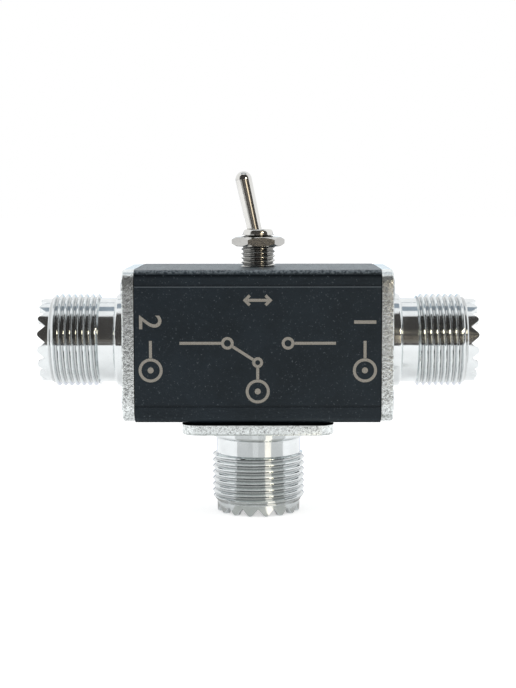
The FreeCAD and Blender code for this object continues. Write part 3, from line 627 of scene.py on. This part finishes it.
class BuildFrontMarks(bpy.types.Operator):
    """Build the line symbols etched on the front: a changeover contact, three port rings and an arrow"""

    bl_idname = "antenna_switch.build_front_marks"
    bl_label = "Front marks"

    def execute(self, context):
        m = context.scene.antenna_switch_marks
        planes = TUBE_LOW.y - m.thickness, TUBE_LOW.y + m.thickness
        grids = []

        # every place and radius from here on is in millimetres from the body's middle
        def line(*points):
            grids.extend(ribbon([(x * MM, MIDDLE_Z + z * MM) for x, z in points], m.stroke, *planes))

        def ring(x, z, r):
            points = ring_points((x * MM, MIDDLE_Z + z * MM), r * MM)
            grids.extend(ribbon(points, m.stroke, *planes, shut=True))

        def port_symbol(x, z):
            ring(x, z, port_r)
            grids.append(disc((x * MM, MIDDLE_Z + z * MM), dot_r * MM, *planes))

        port_x, port_z, port_r, dot_r = m.numeral_distance / MM, -3.9, m.symbol_radius / MM, 0.5
        gap = m.stroke / MM / 2 + 0.02
        stub_gap, stub_end, wire_end = 0.3, 1.0, 12.9
        contact, contact_r = Vector((5.0, 0.6)), 0.8
        pivot_z, pivot_r, common_z = -2.6, 0.65, -7.4
        arrow_x, arrow_z, arrow_head, shaft_gap = 2.1, 7.7, 0.8, 0.4
        for side in (-1, 1):
            port_symbol(side * port_x, port_z)
            line((side * port_x, port_z + port_r + stub_gap), (side * port_x, stub_end))
            ring(side * contact.x, contact.y, contact_r)
            line((side * (contact.x + contact_r + gap), contact.y), (side * wire_end, contact.y))
            back = side * (arrow_x - arrow_head)
            line((back, arrow_z + arrow_head), (side * arrow_x, arrow_z), (back, arrow_z - arrow_head))
        line((shaft_gap - arrow_x, arrow_z), (arrow_x - shaft_gap, arrow_z))
        ring(0.0, pivot_z, pivot_r)
        blade = Vector((-contact.x, contact.y - pivot_z))
        ends = (blade * (d / blade.length) for d in (pivot_r + gap, blade.length - contact_r - gap))
        line(*((end.x, end.y + pivot_z) for end in ends))
        line((0.0, pivot_z - pivot_r - gap), (0.0, common_z + port_r + gap))
        port_symbol(0.0, common_z)
        closed_piece("front_marks", grids, "housing", etched_marks(), sharp=30.0)
        return {"FINISHED"}


DIGIT_SHARE = 0.7    # height of a digit as a share of its font's size


class BuildPortNumbers(bpy.types.Operator):
    """Build the plain port numbers 1 and 2, turned to read down the body's ends"""

    bl_idname = "antenna_switch.build_port_numbers"
    bl_label = "Port numbers"

    def execute(self, context):
        m = context.scene.antenna_switch_marks
        for number, side in (("1", 1), ("2", -1)):
            outline = bpy.data.curves.new(f"port_{number}_number", "FONT")
            outline.body = number
            outline.align_x, outline.align_y = "CENTER", "CENTER"
            outline.size = m.numeral_height / DIGIT_SHARE
            outline.offset = CLEAR
            outline.extrude = m.thickness
            carrier = linked(f"port_{number}_outline", outline)
            bpy.context.view_layer.update()
            mesh = bpy.data.meshes.new_from_object(carrier.evaluated_get(context.evaluated_depsgraph_get()))
            bpy.data.objects.remove(carrier)
            flat = np.zeros((len(mesh.vertices), 3))
            mesh.vertices.foreach_get("co", flat.ravel())
            flat[:, :2] -= (flat[:, :2].min(0) + flat[:, :2].max(0)) / 2
            # read downwards: the number's right goes down the body, its top goes to the right
            place = np.column_stack([side * m.numeral_distance + flat[:, 1], TUBE_LOW.y - flat[:, 2],
                                     MIDDLE_Z + m.numeral_lift - flat[:, 0]])
            mesh.vertices.foreach_set("co", place.ravel())
            close_up(mesh)
            mesh.materials.clear()
            mesh.materials.append(etched_marks())
            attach(linked(f"port_{number}_number", mesh), "housing")
        return {"FINISHED"}


# --- Finishes ---

def put(tree, socket, value):
    """Link an output to a socket, or set the socket to a number or colour."""
    if isinstance(value, bpy.types.NodeSocket):
        tree.links.new(value, socket)
    else:
        socket.default_value = value


def node(tree, kind, inputs=(), **settings):
    """A new shader node with these settings, and with its inputs, by name or number, set or linked."""
    made = tree.nodes.new(f"ShaderNode{kind}")
    for setting, value in settings.items():
        setattr(made, setting, value)
    for key, value in dict(inputs).items():
        put(tree, made.inputs[key], value)
    return made


def finish_named(name, build):
    """The material of that name, made the first time from what build(tree) gives for its shader's inputs."""
    if name in bpy.data.materials:
        return bpy.data.materials[name]
    material = bpy.data.materials.new(name)
    material.use_nodes = True
    tree = material.node_tree
    for key, value in build(tree).items():
        put(tree, tree.nodes["Principled BSDF"].inputs[key], value)
    return material


def mapped(tree, source="Object", scale=(1, 1, 1)):
    """Texture coordinates of one kind, Object or UV, scaled along its axes."""
    place = node(tree, "TexCoord").outputs[source]
    return node(tree, "Mapping", {"Vector": place, "Scale": scale}).outputs["Vector"]


def noise(tree, vector, scale, detail=3.0, roughness=0.55):
    """Noise value over a vector."""
    inputs = {"Vector": vector, "Scale": scale, "Detail": detail, "Roughness": roughness}
    return node(tree, "TexNoise", inputs).outputs["Fac"]


def spread(tree, value, low, high, to_low, to_high):
    """Value mapped from low..high to to_low..to_high and held there."""
    inputs = {"Value": value, "From Min": low, "From Max": high, "To Min": to_low, "To Max": to_high}
    return node(tree, "MapRange", inputs).outputs["Result"]


def maths(tree, operation, *values):
    """Result of one step of arithmetic."""
    return node(tree, "Math", enumerate(values), operation=operation).outputs[0]


def added(tree, first, second, share=1.0):
    """First value plus a share of the second."""
    return maths(tree, "MULTIPLY_ADD", second, share, first)


def mixed(tree, share, first, second):
    """Colour that runs from the first to the second as the share goes from 0 to 1."""
    inputs = {"Factor": share, "A": first, "B": second}
    return node(tree, "Mix", inputs, data_type="RGBA").outputs["Result"]


def two_tone(tree, value, dark, light, low=0.3, high=0.7):
    """Colour that runs from dark to light as the value goes from low to high."""
    ramp = node(tree, "ValToRGB", {"Fac": value})
    for element, place, colour in zip(ramp.color_ramp.elements, (low, high), (dark, light)):
        element.position = place
        element.color = colour
    return ramp.outputs["Color"]


def relief(tree, height, distance, strength=1.0):
    """Normal of a bump from a height of 0 to 1, with its depth in metres."""
    inputs = {"Height": height, "Distance": distance, "Strength": strength}
    return node(tree, "Bump", inputs).outputs["Normal"]


def groove_shade_share(tree):
    """Share of painted shade at a point, 0 to 1, from the mesh's attribute: how deep it lies in a groove, or
    1 in a flange's rebate and on its back.
    """
    return node(tree, "Attribute", attribute_name="groove").outputs["Fac"]


def height_of(tree, place):
    """Height of a point, from its coordinates."""
    return node(tree, "SeparateXYZ", {0: place}).outputs["Z"]


def near_top(tree, height, start, end, most=1.0):
    """0 up to most between two depths under the body's top face, in millimetres."""
    return spread(tree, height, TUBE_HIGH.z - start * MM, TUBE_HIGH.z - end * MM, 0.0, most)


def shade(colour, factor=1.0):
    """A colour with alpha 1, made darker or lighter by a factor."""
    return (*(min(1.0, c * factor) for c in colour[:3]), 1.0)


def colours():
    """The colours set in the panel."""
    return bpy.context.scene.antenna_switch_finishes


def anodised_black():
    """Blasted and anodised aluminium: fine even grain, faint cloudiness and lines drawn along the tube.

    By height, it has a painted highlight as a light line at the front's upper groove, an upper edge painted
    lighter, partly as wear and partly as a painted highlight, a painted shadow under that edge as a dark,
    less glossy strip, and streaks of gloss on its top face. Light specks are scattered all over."""
    def build(tree):
        base, place = colours().anodised, mapped(tree)
        height = height_of(tree, place)
        grain, coarse = noise(tree, place, 9000, 2.0), noise(tree, place, 2400)
        drawn = noise(tree, mapped(tree, scale=(60, 1500, 1500)), 1.0, 2.0)
        cloudy = added(tree, noise(tree, place, 140), grain, 0.55)
        plain = two_tone(tree, cloudy, shade(base, 0.72), shade(base, 1.35), 0.55, 1.0)
        specks = spread(tree, noise(tree, place, 3600, 1.0), 0.66, 0.76, 0.0, 0.5)
        # painted highlight: a light line along the upper front groove, where light from above catches its
        # edge
        painted_groove_highlight = maths(tree, "COMPARE", height, MIDDLE_Z + 9.88 * MM, 0.07 * MM)
        # upper edge painted lighter: partly wear, partly a painted highlight on the rounding
        worn_edge_and_highlight = maths(tree, "MULTIPLY", near_top(tree, height, 0.75, 0.45),
                       spread(tree, coarse, 0.40, 0.60, 0.10, 1.0))
        # light specks, the painted groove highlight and the lighter upper edge together
        light_marks = added(tree, added(tree, specks, painted_groove_highlight, 0.8), worn_edge_and_highlight)
        # painted shadow: a dark strip just under the upper edge's rounding
        painted_shadow_band = added(tree, near_top(tree, height, 1.45, 0.95), near_top(tree, height, 0.84, 0.76), -1.0)
        streaks = noise(tree, mapped(tree, scale=(900, 110, 900)), 1.0)
        gloss = maths(tree, "MULTIPLY_ADD", near_top(tree, height, 0.4, 0.1),
                      spread(tree, streaks, 0.35, 0.65, -0.16, 0.16), 0.42)
        bumps = added(tree, added(tree, grain, drawn, 0.25), coarse, 1.5)
        banded = mixed(tree, painted_shadow_band, plain, shade(base, 0.5))
        return {
            # light metal colour for the specks, the painted groove highlight and the lighter upper edge
            "Base Color": mixed(tree, light_marks, banded, (0.120, 0.140, 0.155, 1)),
            "Roughness": spread(tree, grain, 0.3, 0.7, 0.30, 0.44),
            # less gloss in the painted shadow under the upper edge
            "Specular IOR Level": added(tree, gloss, painted_shadow_band, -0.31),
            "Specular Tint": (0.79, 0.92, 1.0, 1),
            "Normal": relief(tree, bumps, 0.032 * MM),
        }
    return finish_named("anodised_black", build)


def turned_nickel():
    """Turned and plated brass: marks round the axis that spread its gloss along the axis, painted shade in
    the thread's grooves, and faint stains."""
    def build(tree):
        base, groove = colours().turned, groove_shade_share(tree)
        rings = noise(tree, mapped(tree, "UV", (60, 9000, 1)), 1.0)
        stains = noise(tree, mapped(tree), 420)
        clean = two_tone(tree, added(tree, stains, rings, 0.3), shade(base, 0.90), shade(base), 0.45, 0.8)
        return {
            # painted shade: the colour darkens towards the roots of the thread's grooves
            "Base Color": mixed(tree, groove, clean, shade(base, 0.66)),
            "Roughness": spread(tree, added(tree, stains, rings, 0.5), 0.5, 1.0, 0.09, 0.17),
            "Tangent": node(tree, "Tangent", direction_type="UV_MAP", uv_map="surface").outputs["Tangent"],
            "Anisotropic": 0.92,
            "Anisotropic Rotation": 0.25,
            "Metallic": 1.0,
        }
    return finish_named("turned_nickel", build)


def cast_nickel():
    """Cast, blasted and plated zinc: grains of a few tenths of a millimetre, bright on top and dark between
    them, with painted light that leaves fewer dark ones on the common flange and near the body's top, and
    black painted shade in the rebate."""
    def build(tree):
        base, place, groove = colours().cast, mapped(tree), groove_shade_share(tree)
        lumps = noise(tree, place, 2300, 4.0, 0.62)
        bumps = added(tree, lumps, noise(tree, place, 6500, 2.0), 0.45)
        height = height_of(tree, place)
        # painted light: fewer dark grains on the common flange under the body and on the flanges near the
        # body's top
        painted_light_low = spread(tree, height, TUBE_LOW.z - 0.05 * MM, TUBE_LOW.z + 0.05 * MM, 0.05, 0.0)
        bumps_and_painted_light = added(tree, bumps, added(tree, painted_light_low, near_top(tree, height, 1.2, 0.6, 0.14)))
        cast = two_tone(tree, bumps_and_painted_light, shade(base, 0.38), shade(base, 1.10), 0.54, 0.78)
        return {
            # painted shade: black, matt and not metallic in the rebate and on the back
            "Base Color": mixed(tree, groove, cast, (0.004, 0.005, 0.006, 1)),
            "Roughness": spread(tree, lumps, 0.35, 0.65, 0.26, 0.13),
            "Metallic": spread(tree, groove, 0.0, 1.0, 0.88, 0.0),
            "Specular IOR Level": spread(tree, groove, 0.0, 1.0, 0.5, 0.0),
            "Normal": relief(tree, bumps, 0.041 * MM),
        }
    return finish_named("cast_nickel", build)


def plated(name, base, rough, grain, depth, contrast=0.85, dull=1.0):
    """Plated or plain metal: a noise sets its colour, roughness and a shallow relief of a depth in
    millimetres, and dull is the colour factor of the painted shade in a thread's grooves."""
    def build(tree):
        place = mapped(tree)
        fine = noise(tree, place, grain)
        spotty = added(tree, noise(tree, place, grain / 9, 2.0), fine, 0.3)
        clean = two_tone(tree, spotty, shade(base, contrast), shade(base), 0.45, 0.85)
        return {
            # painted shade: the colour darkened by dull towards a groove's root
            "Base Color": mixed(tree, groove_shade_share(tree), clean, shade(base, dull)),
            "Roughness": spread(tree, fine, 0.3, 0.7, rough * 0.75, rough * 1.3),
            "Normal": relief(tree, fine, depth * MM, 0.7),
            "Metallic": 1.0,
        }
    return finish_named(name, build)


def toggle_nickel(name="toggle_nickel", factor=1.0, dull=1.0):
    """Plating of the toggle's parts."""
    return plated(name, shade(colours().toggle, factor), 0.13, 2600, 0.003, 0.9, dull)


def bright_zinc():
    """Plating of the flange screws."""
    return plated("bright_zinc", colours().screw, 0.22, 3200, 0.006, 0.8)


def moulded(name, base, rough, grain, depth, glow=0.0):
    """Moulded plastic: soft cloudiness, slight changes of gloss and a skin of a depth in millimetres."""
    def build(tree):
        place = mapped(tree)
        skin = noise(tree, place, grain, 2.0)
        return {
            "Base Color": two_tone(tree, noise(tree, place, 260), shade(base, 0.9), shade(base, 1.04)),
            "Roughness": spread(tree, skin, 0.3, 0.7, rough * 0.85, rough * 1.2),
            "Normal": relief(tree, skin, depth * MM, 0.6),
            "Subsurface Weight": glow,
            "Subsurface Scale": 0.4 * MM,
        }
    return finish_named(name, build)


def etched_marks():
    """Bare metal etched through the anodising: matt, warm grey, broken by the blasted grain."""
    def build(tree):
        base, grain = colours().etched, noise(tree, mapped(tree), 7000)
        return {
            "Base Color": two_tone(tree, grain, shade(base, 0.62), shade(base, 1.12), 0.36, 0.6),
            "Roughness": spread(tree, grain, 0.3, 0.7, 0.5, 0.7),
            "Normal": relief(tree, grain, 0.01 * MM, 0.6),
            "Metallic": 0.15,
        }
    return finish_named("etched_marks", build)


def node_finishes():
    """Finish of every CAD node that stays in view, by the end of its name."""
    white = moulded("insulator_white", colours().insulator, 0.34, 3000, 0.004, 0.15)
    silver = plated("silver_plate", (0.80, 0.79, 0.75), 0.2, 3000, 0.004, 0.82)
    steel = plated("spring_steel", (0.42, 0.41, 0.40), 0.28, 2400, 0.006, 0.7)
    pressed = plated("pressed_steel", (0.55, 0.55, 0.54), 0.3, 1800, 0.008, 0.75)
    return {
        "body_extrusion": anodised_black(),
        "_insulator": white,
        "_contact": silver,
        "_terminal": silver,
        "_ring": steel,
        "lock_washer": steel,
        "plunger_spring": steel,
        "toggle_frame": pressed,
        "toggle_nut": toggle_nickel("nut_nickel", 0.84),
        "toggle_lever": toggle_nickel(),
        "toggle_case": moulded("case_moulding", (0.10, 0.012, 0.012), 0.45, 2200, 0.008),
        "toggle_plunger": moulded("plunger_moulding", (0.62, 0.60, 0.55), 0.4, 2600, 0.004, 0.05),
        "_wire": plated("tinned_wire", (0.68, 0.67, 0.65), 0.3, 2400, 0.006, 0.75),
        "solder_joints": plated("solder", (0.60, 0.61, 0.63), 0.24, 1200, 0.012, 0.7),
    }


class FinishNodes(bpy.types.Operator):
    """Give every CAD node that stays in view its own finish"""

    bl_idname = "antenna_switch.finish_nodes"
    bl_label = "Finishes"

    def execute(self, context):
        finishes = node_finishes()
        for name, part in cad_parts.items():
            if part.hide_render:
                continue
            found = [material for ending, material in finishes.items() if name.endswith(ending)]
            if not found:
                raise RuntimeError(f"{name} has no finish")
            part.data.materials.clear()
            part.data.materials.append(found[0])
        return {"FINISHED"}


class PressSpring(bpy.types.Operator):
    """Give the spring in the lever's tail a mesh of its own"""

    bl_idname = "antenna_switch.press_spring"
    bl_label = "Plunger spring"

    def execute(self, context):
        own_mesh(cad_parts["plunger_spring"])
        return {"FINISHED"}


# --- Studio ---

CARD_RADIUS = 0.62         # of the ring of cards round the object
WALL_RADIUS = 30 * MM      # of the low walls and mats that only the common port reflects
MOUTH_RADIUS = 7.5 * MM    # where those mats begin
TOOTH_MAT_RADIUS = 11 * MM
FRONT_MAT_START = 0.183    # from the middle to the near edge of the mats in front


# Each card's colour, and its strength where that isn't 1.
CARDS = {
    "dark": ((0.060, 0.056, 0.053),),
    "black": ((0.020, 0.022, 0.024),),
    "brown": ((0.130, 0.118, 0.104),),
    "grey": ((0.42, 0.42, 0.41),),
    "strip": ((0.130, 0.120, 0.110),),
    "warm": ((1.0, 0.85, 0.63), 1.5),
    "core": ((1.0, 0.88, 0.66), 14.0),
    "pale": ((0.69, 0.70, 0.70),),
    "paler": ((0.85, 0.86, 0.86),),
    "dull": ((0.50, 0.51, 0.50),),
    "duller": ((0.45, 0.46, 0.44),),
    "glow": ((1.0, 0.95, 0.86), 1.3),
    "veil": ((0.31, 0.36, 0.41),),
    "rear": ((0.42, 0.45, 0.49),),
    "behind": ((0.88, 0.90, 0.97),),
    "rear_pale": ((0.74, 0.86, 0.95),),
}


def staged(name, grid, material, only_glossy=True):
    """A piece of the studio from one grid of points, seen in reflections alone unless it says otherwise."""
    points, _ = grid
    mesh = bpy.data.meshes.new(name)
    mesh.from_pydata(points.reshape(-1, 3).tolist(), [], quads_of(*points.shape[:2]).tolist())
    mesh.shade_smooth()
    mesh.materials.append(material)
    piece = linked(name, mesh)
    if only_glossy:
        for ray in ("camera", "diffuse", "shadow", "transmission"):
            setattr(piece, f"visible_{ray}", False)


def card(name, colour, strength=1.0):
    """Card that glows evenly, for the metal to reflect."""
    material = bpy.data.materials.new(name)
    material.use_nodes = True
    tree = material.node_tree
    tree.nodes.clear()
    glow = node(tree, "Emission", {"Color": (*colour, 1), "Strength": strength})
    node(tree, "OutputMaterial", {"Surface": glow.outputs[0]})
    return material


def arc_card(azimuths, radii, heights, columns=25):
    """Part of a turned surface round the middle: (r sin a, -r cos a, z), with a from the front towards +X, in
    degrees, and r and z along the profile."""
    a = np.radians(np.linspace(*azimuths, columns))[None, :]
    r, z = (values[:, None] for values in np.broadcast_arrays(radii, heights))
    return grid_of(r * np.sin(a), -r * np.cos(a), z + 0 * a)


def far_card(azimuths, elevations, radius=CARD_RADIUS):
    """Part of a sphere round the body's middle, azimuth by elevation in degrees."""
    e = np.radians(np.linspace(*elevations, 13))
    return arc_card(azimuths, radius * np.cos(e), MIDDLE_Z + radius * np.sin(e), columns=49)


def ring_mat(azimuths, near, far):
    """Flat mat just over the floor, part of a ring round the middle."""
    return arc_card(azimuths, np.linspace(near, far, 3), 0.05 * MM)


def front_mat(azimuths):
    """Flat mat just over the floor between two values of y, with x = -y tan a at its sides."""
    slope = np.tan(np.radians(np.linspace(*azimuths, 25)))[None, :]
    y = -np.linspace(FRONT_MAT_START, CARD_RADIUS, 7)[:, None]
    return grid_of(-y * slope, y, 0.3 * MM + 0 * y * slope)


def flat_card(half_width, y_range, z):
    """Level rectangle as wide to the left as to the right."""
    x = np.linspace(-half_width, half_width, 3)[None, :]
    return grid_of(x, np.linspace(*y_range, 3)[:, None], z + 0 * x)


def aimed(name, data, place, target, turn=Quaternion()):
    """A lamp or camera at a place, aimed at a point and turned about that line."""
    carrier = linked(name, data)
    carrier.location = place
    carrier.rotation_euler = ((Vector(target) - carrier.location).to_track_quat("-Z", "Y") @ turn).to_euler()
    return carrier


def lamp(name, place, width, power):
    """Square area lamp aimed at the body's middle and left out of reflections."""
    light = bpy.data.lights.new(name, "AREA")
    light.size, light.energy = width, power
    aimed(name, light, place, (0, 0, MIDDLE_Z)).visible_glossy = False


def white_world(strength):
    """White all round: strength 1 where it is seen, reflected or seen through, else a set strength."""
    world = bpy.data.worlds.new("white_surround")
    bpy.context.scene.world = world
    world.use_nodes = True
    tree = world.node_tree
    rays = node(tree, "LightPath").outputs
    seen = maths(tree, "MAXIMUM", rays["Is Camera Ray"], rays["Is Glossy Ray"])
    seen = maths(tree, "MAXIMUM", seen, rays["Is Transmission Ray"])
    background = tree.nodes["Background"].inputs
    background["Color"].default_value = (1, 1, 1, 1)
    put(tree, background["Strength"], spread(tree, seen, 0.0, 1.0, strength, 1.0))


def floor_paint():
    """Pale floor: matt white, with a white glow where it is seen directly, so that only the shadow shows, and
    less glow in reflections."""
    def build(tree):
        rays = node(tree, "LightPath").outputs
        direct = spread(tree, rays["Is Camera Ray"], 0.0, 1.0, 0.0, 0.55)
        return {
            "Base Color": (0.82, 0.82, 0.82, 1),
            "Roughness": 0.9,
            "Specular IOR Level": 0.0,
            "Emission Color": (1, 1, 1, 1),
            "Emission Strength": added(tree, direct, rays["Is Glossy Ray"], 0.2),
        }
    return finish_named("pale_floor", build)


def front_cards(cards):
    """Cards and mats in front, side by side from left to right, under one dark card that reaches overhead."""
    strips = (((-62, -28), "grey", "grey"), ((-28, -14), "dark", "dark"), ((-14, 4), "strip", "strip"),
              ((4, 20), "brown", "dark"), ((20, 30), "warm", "dark"), ((30, 74), "dark", "dark"))
    for i, (span, upright, flat) in enumerate(strips):
        staged(f"front_card_{i}", far_card(span, (-2.5, 6)), cards[upright])
        staged(f"front_mat_{i}", front_mat(span), cards[flat])
    staged("front_card", far_card((-62, 74), (6, 70)), cards["dark"])
    staged("lamp_card", far_card((30, 42), (19, 27), 0.58), cards["core"])
    staged("lever_card", far_card((17, 34), (6, 15), 0.60), cards["warm"])


def common_port_cards(cards):
    """Two low walls, one over the other, and a mat round the front of the common port, and a mat at its teeth
    and one before it."""
    strips = (((-53, -13), "pale", "dull", "duller"), ((-13, 0), "paler", "dull", "duller"),
              ((0, 16), "pale", "dull", "duller"), ((16, 31), "glow", "glow", "glow"),
              ((31, 63), "pale", "dull", "duller"))
    floor_gap, middle, top = 0.2 * MM, 5.0 * MM, 10.6 * MM
    for i, (span, high, low, flat) in enumerate(strips):
        staged(f"high_wall_{i}", arc_card(span, WALL_RADIUS, np.linspace(middle, top, 3)), cards[high])
        staged(f"low_wall_{i}", arc_card(span, WALL_RADIUS, np.linspace(floor_gap, middle, 3)), cards[low])
        staged(f"low_mat_{i}", ring_mat(span, MOUTH_RADIUS, WALL_RADIUS), cards[flat])
    staged("tooth_mat", ring_mat((61, 299), MOUTH_RADIUS, TOOTH_MAT_RADIUS), cards["grey"])
    staged("under_mat", flat_card(21 * MM, (-31 * MM, -70 * MM), 0.1 * MM), cards["black"])


def far_cards(cards):
    """Cards overhead and behind."""
    for i, span in enumerate(((0.0, 0.18), (0.42, 0.45))):
        staged(f"overhead_card_{i}", flat_card(0.25, span, 0.60), cards["veil"])
    strips = (((148, 171), "rear"), ((171, 189), "rear_pale"), ((189, 212), "rear"))
    for i, (span, finish) in enumerate(strips):
        tall = (-1, 4.5) if finish == "rear" else (-2.5, 14)
        staged(f"rear_card_{i}", far_card(span, tall), cards[finish])
        if finish == "rear":
            staged(f"rear_mat_{i}", ring_mat(span, WALL_RADIUS, CARD_RADIUS), cards["behind"])


class BuildStudio(bpy.types.Operator):
    """Build the pale floor, the white surround, the cards that the metal reflects, and the lamps"""

    bl_idname = "antenna_switch.build_studio"
    bl_label = "Studio"

    def execute(self, context):
        s = context.scene.antenna_switch_studio
        white_world(s.sky)
        ring, a = np.array([0.0, 0.2, 0.6, 1.5, 4.0])[:, None], circle(64)
        staged("floor", grid_of(ring * np.cos(a), ring * np.sin(a), -CLEAR + 0 * ring * a), floor_paint(),
               only_glossy=False)
        cards = {name: card(f"{name}_card", *look) for name, look in CARDS.items()}
        front_cards(cards)
        common_port_cards(cards)
        far_cards(cards)
        lamp("top_lamp", (0, 0.05, 0.75), 0.6, s.top_lamp)
        lamp("left_lamp", (-0.65, -0.2, 0.3), 0.4, s.side_lamp)
        lamp("right_lamp", (0.65, -0.2, 0.3), 0.4, s.side_lamp)
        return {"FINISHED"}


class PlaceCamera(bpy.types.Operator):
    """Place the camera slightly over the front"""

    bl_idname = "antenna_switch.place_camera"
    bl_label = "Camera"

    def execute(self, context):
        s = context.scene.antenna_switch_studio
        camera = bpy.data.cameras.new("camera")
        camera.lens, camera.sensor_width, camera.clip_start = s.lens, 36.0, 10 * MM
        place = (s.camera_side, -s.camera_distance, MIDDLE_Z + s.camera_rise)
        target = (-0.05 * MM, 0, MIDDLE_Z - s.aim_drop)
        context.scene.camera = aimed("camera", camera, place, target, Quaternion((0, 0, 1), s.camera_roll))
        context.scene.view_settings.view_transform = "Standard"
        return {"FINISHED"}


# --- Panel and registration ---

STEPS = (BuildSocketBarrels, BuildSocketFlanges, BuildFlangeScrews, BuildToggleBushing, BuildFrontMarks,
         BuildPortNumbers, FinishNodes, PressSpring, BuildStudio, PlaceCamera)
GROUPS = {
    "antenna_switch_sockets": SocketSizes,
    "antenna_switch_toggle": ToggleSizes,
    "antenna_switch_marks": MarkSizes,
    "antenna_switch_finishes": FinishColours,
    "antenna_switch_studio": StudioSettings,
}


class AntennaSwitchPanel(bpy.types.Panel):
    """Sizes, colours and steps of the antenna switch"""

    bl_idname = "VIEW3D_PT_antenna_switch"
    bl_label = "Antenna switch"
    bl_space_type = "VIEW_3D"
    bl_region_type = "UI"
    bl_category = "Antenna Switch"

    def draw(self, context):
        for attribute, group in GROUPS.items():
            box = self.layout.box()
            box.label(text=group.__doc__.rstrip("."))
            for name in group.__annotations__:
                box.prop(getattr(context.scene, attribute), name)
        for step in STEPS:
            self.layout.operator(step.bl_idname)


def register():
    for group in GROUPS.values():
        bpy.utils.register_class(group)
    for attribute, group in GROUPS.items():
        setattr(bpy.types.Scene, attribute, PointerProperty(type=group))
    for item in (*STEPS, AntennaSwitchPanel):
        bpy.utils.register_class(item)


def unregister():
    for item in (AntennaSwitchPanel, *reversed(STEPS)):
        bpy.utils.unregister_class(item)
    for attribute in GROUPS:
        delattr(bpy.types.Scene, attribute)
    for group in reversed(GROUPS.values()):
        bpy.utils.unregister_class(group)


def main():
    register()
    for step in STEPS:
        area, name = step.bl_idname.split(".")
        getattr(getattr(bpy.ops, area), name)()
    bpy.context.view_layer.update()


if __name__ == "__main__":
    main()
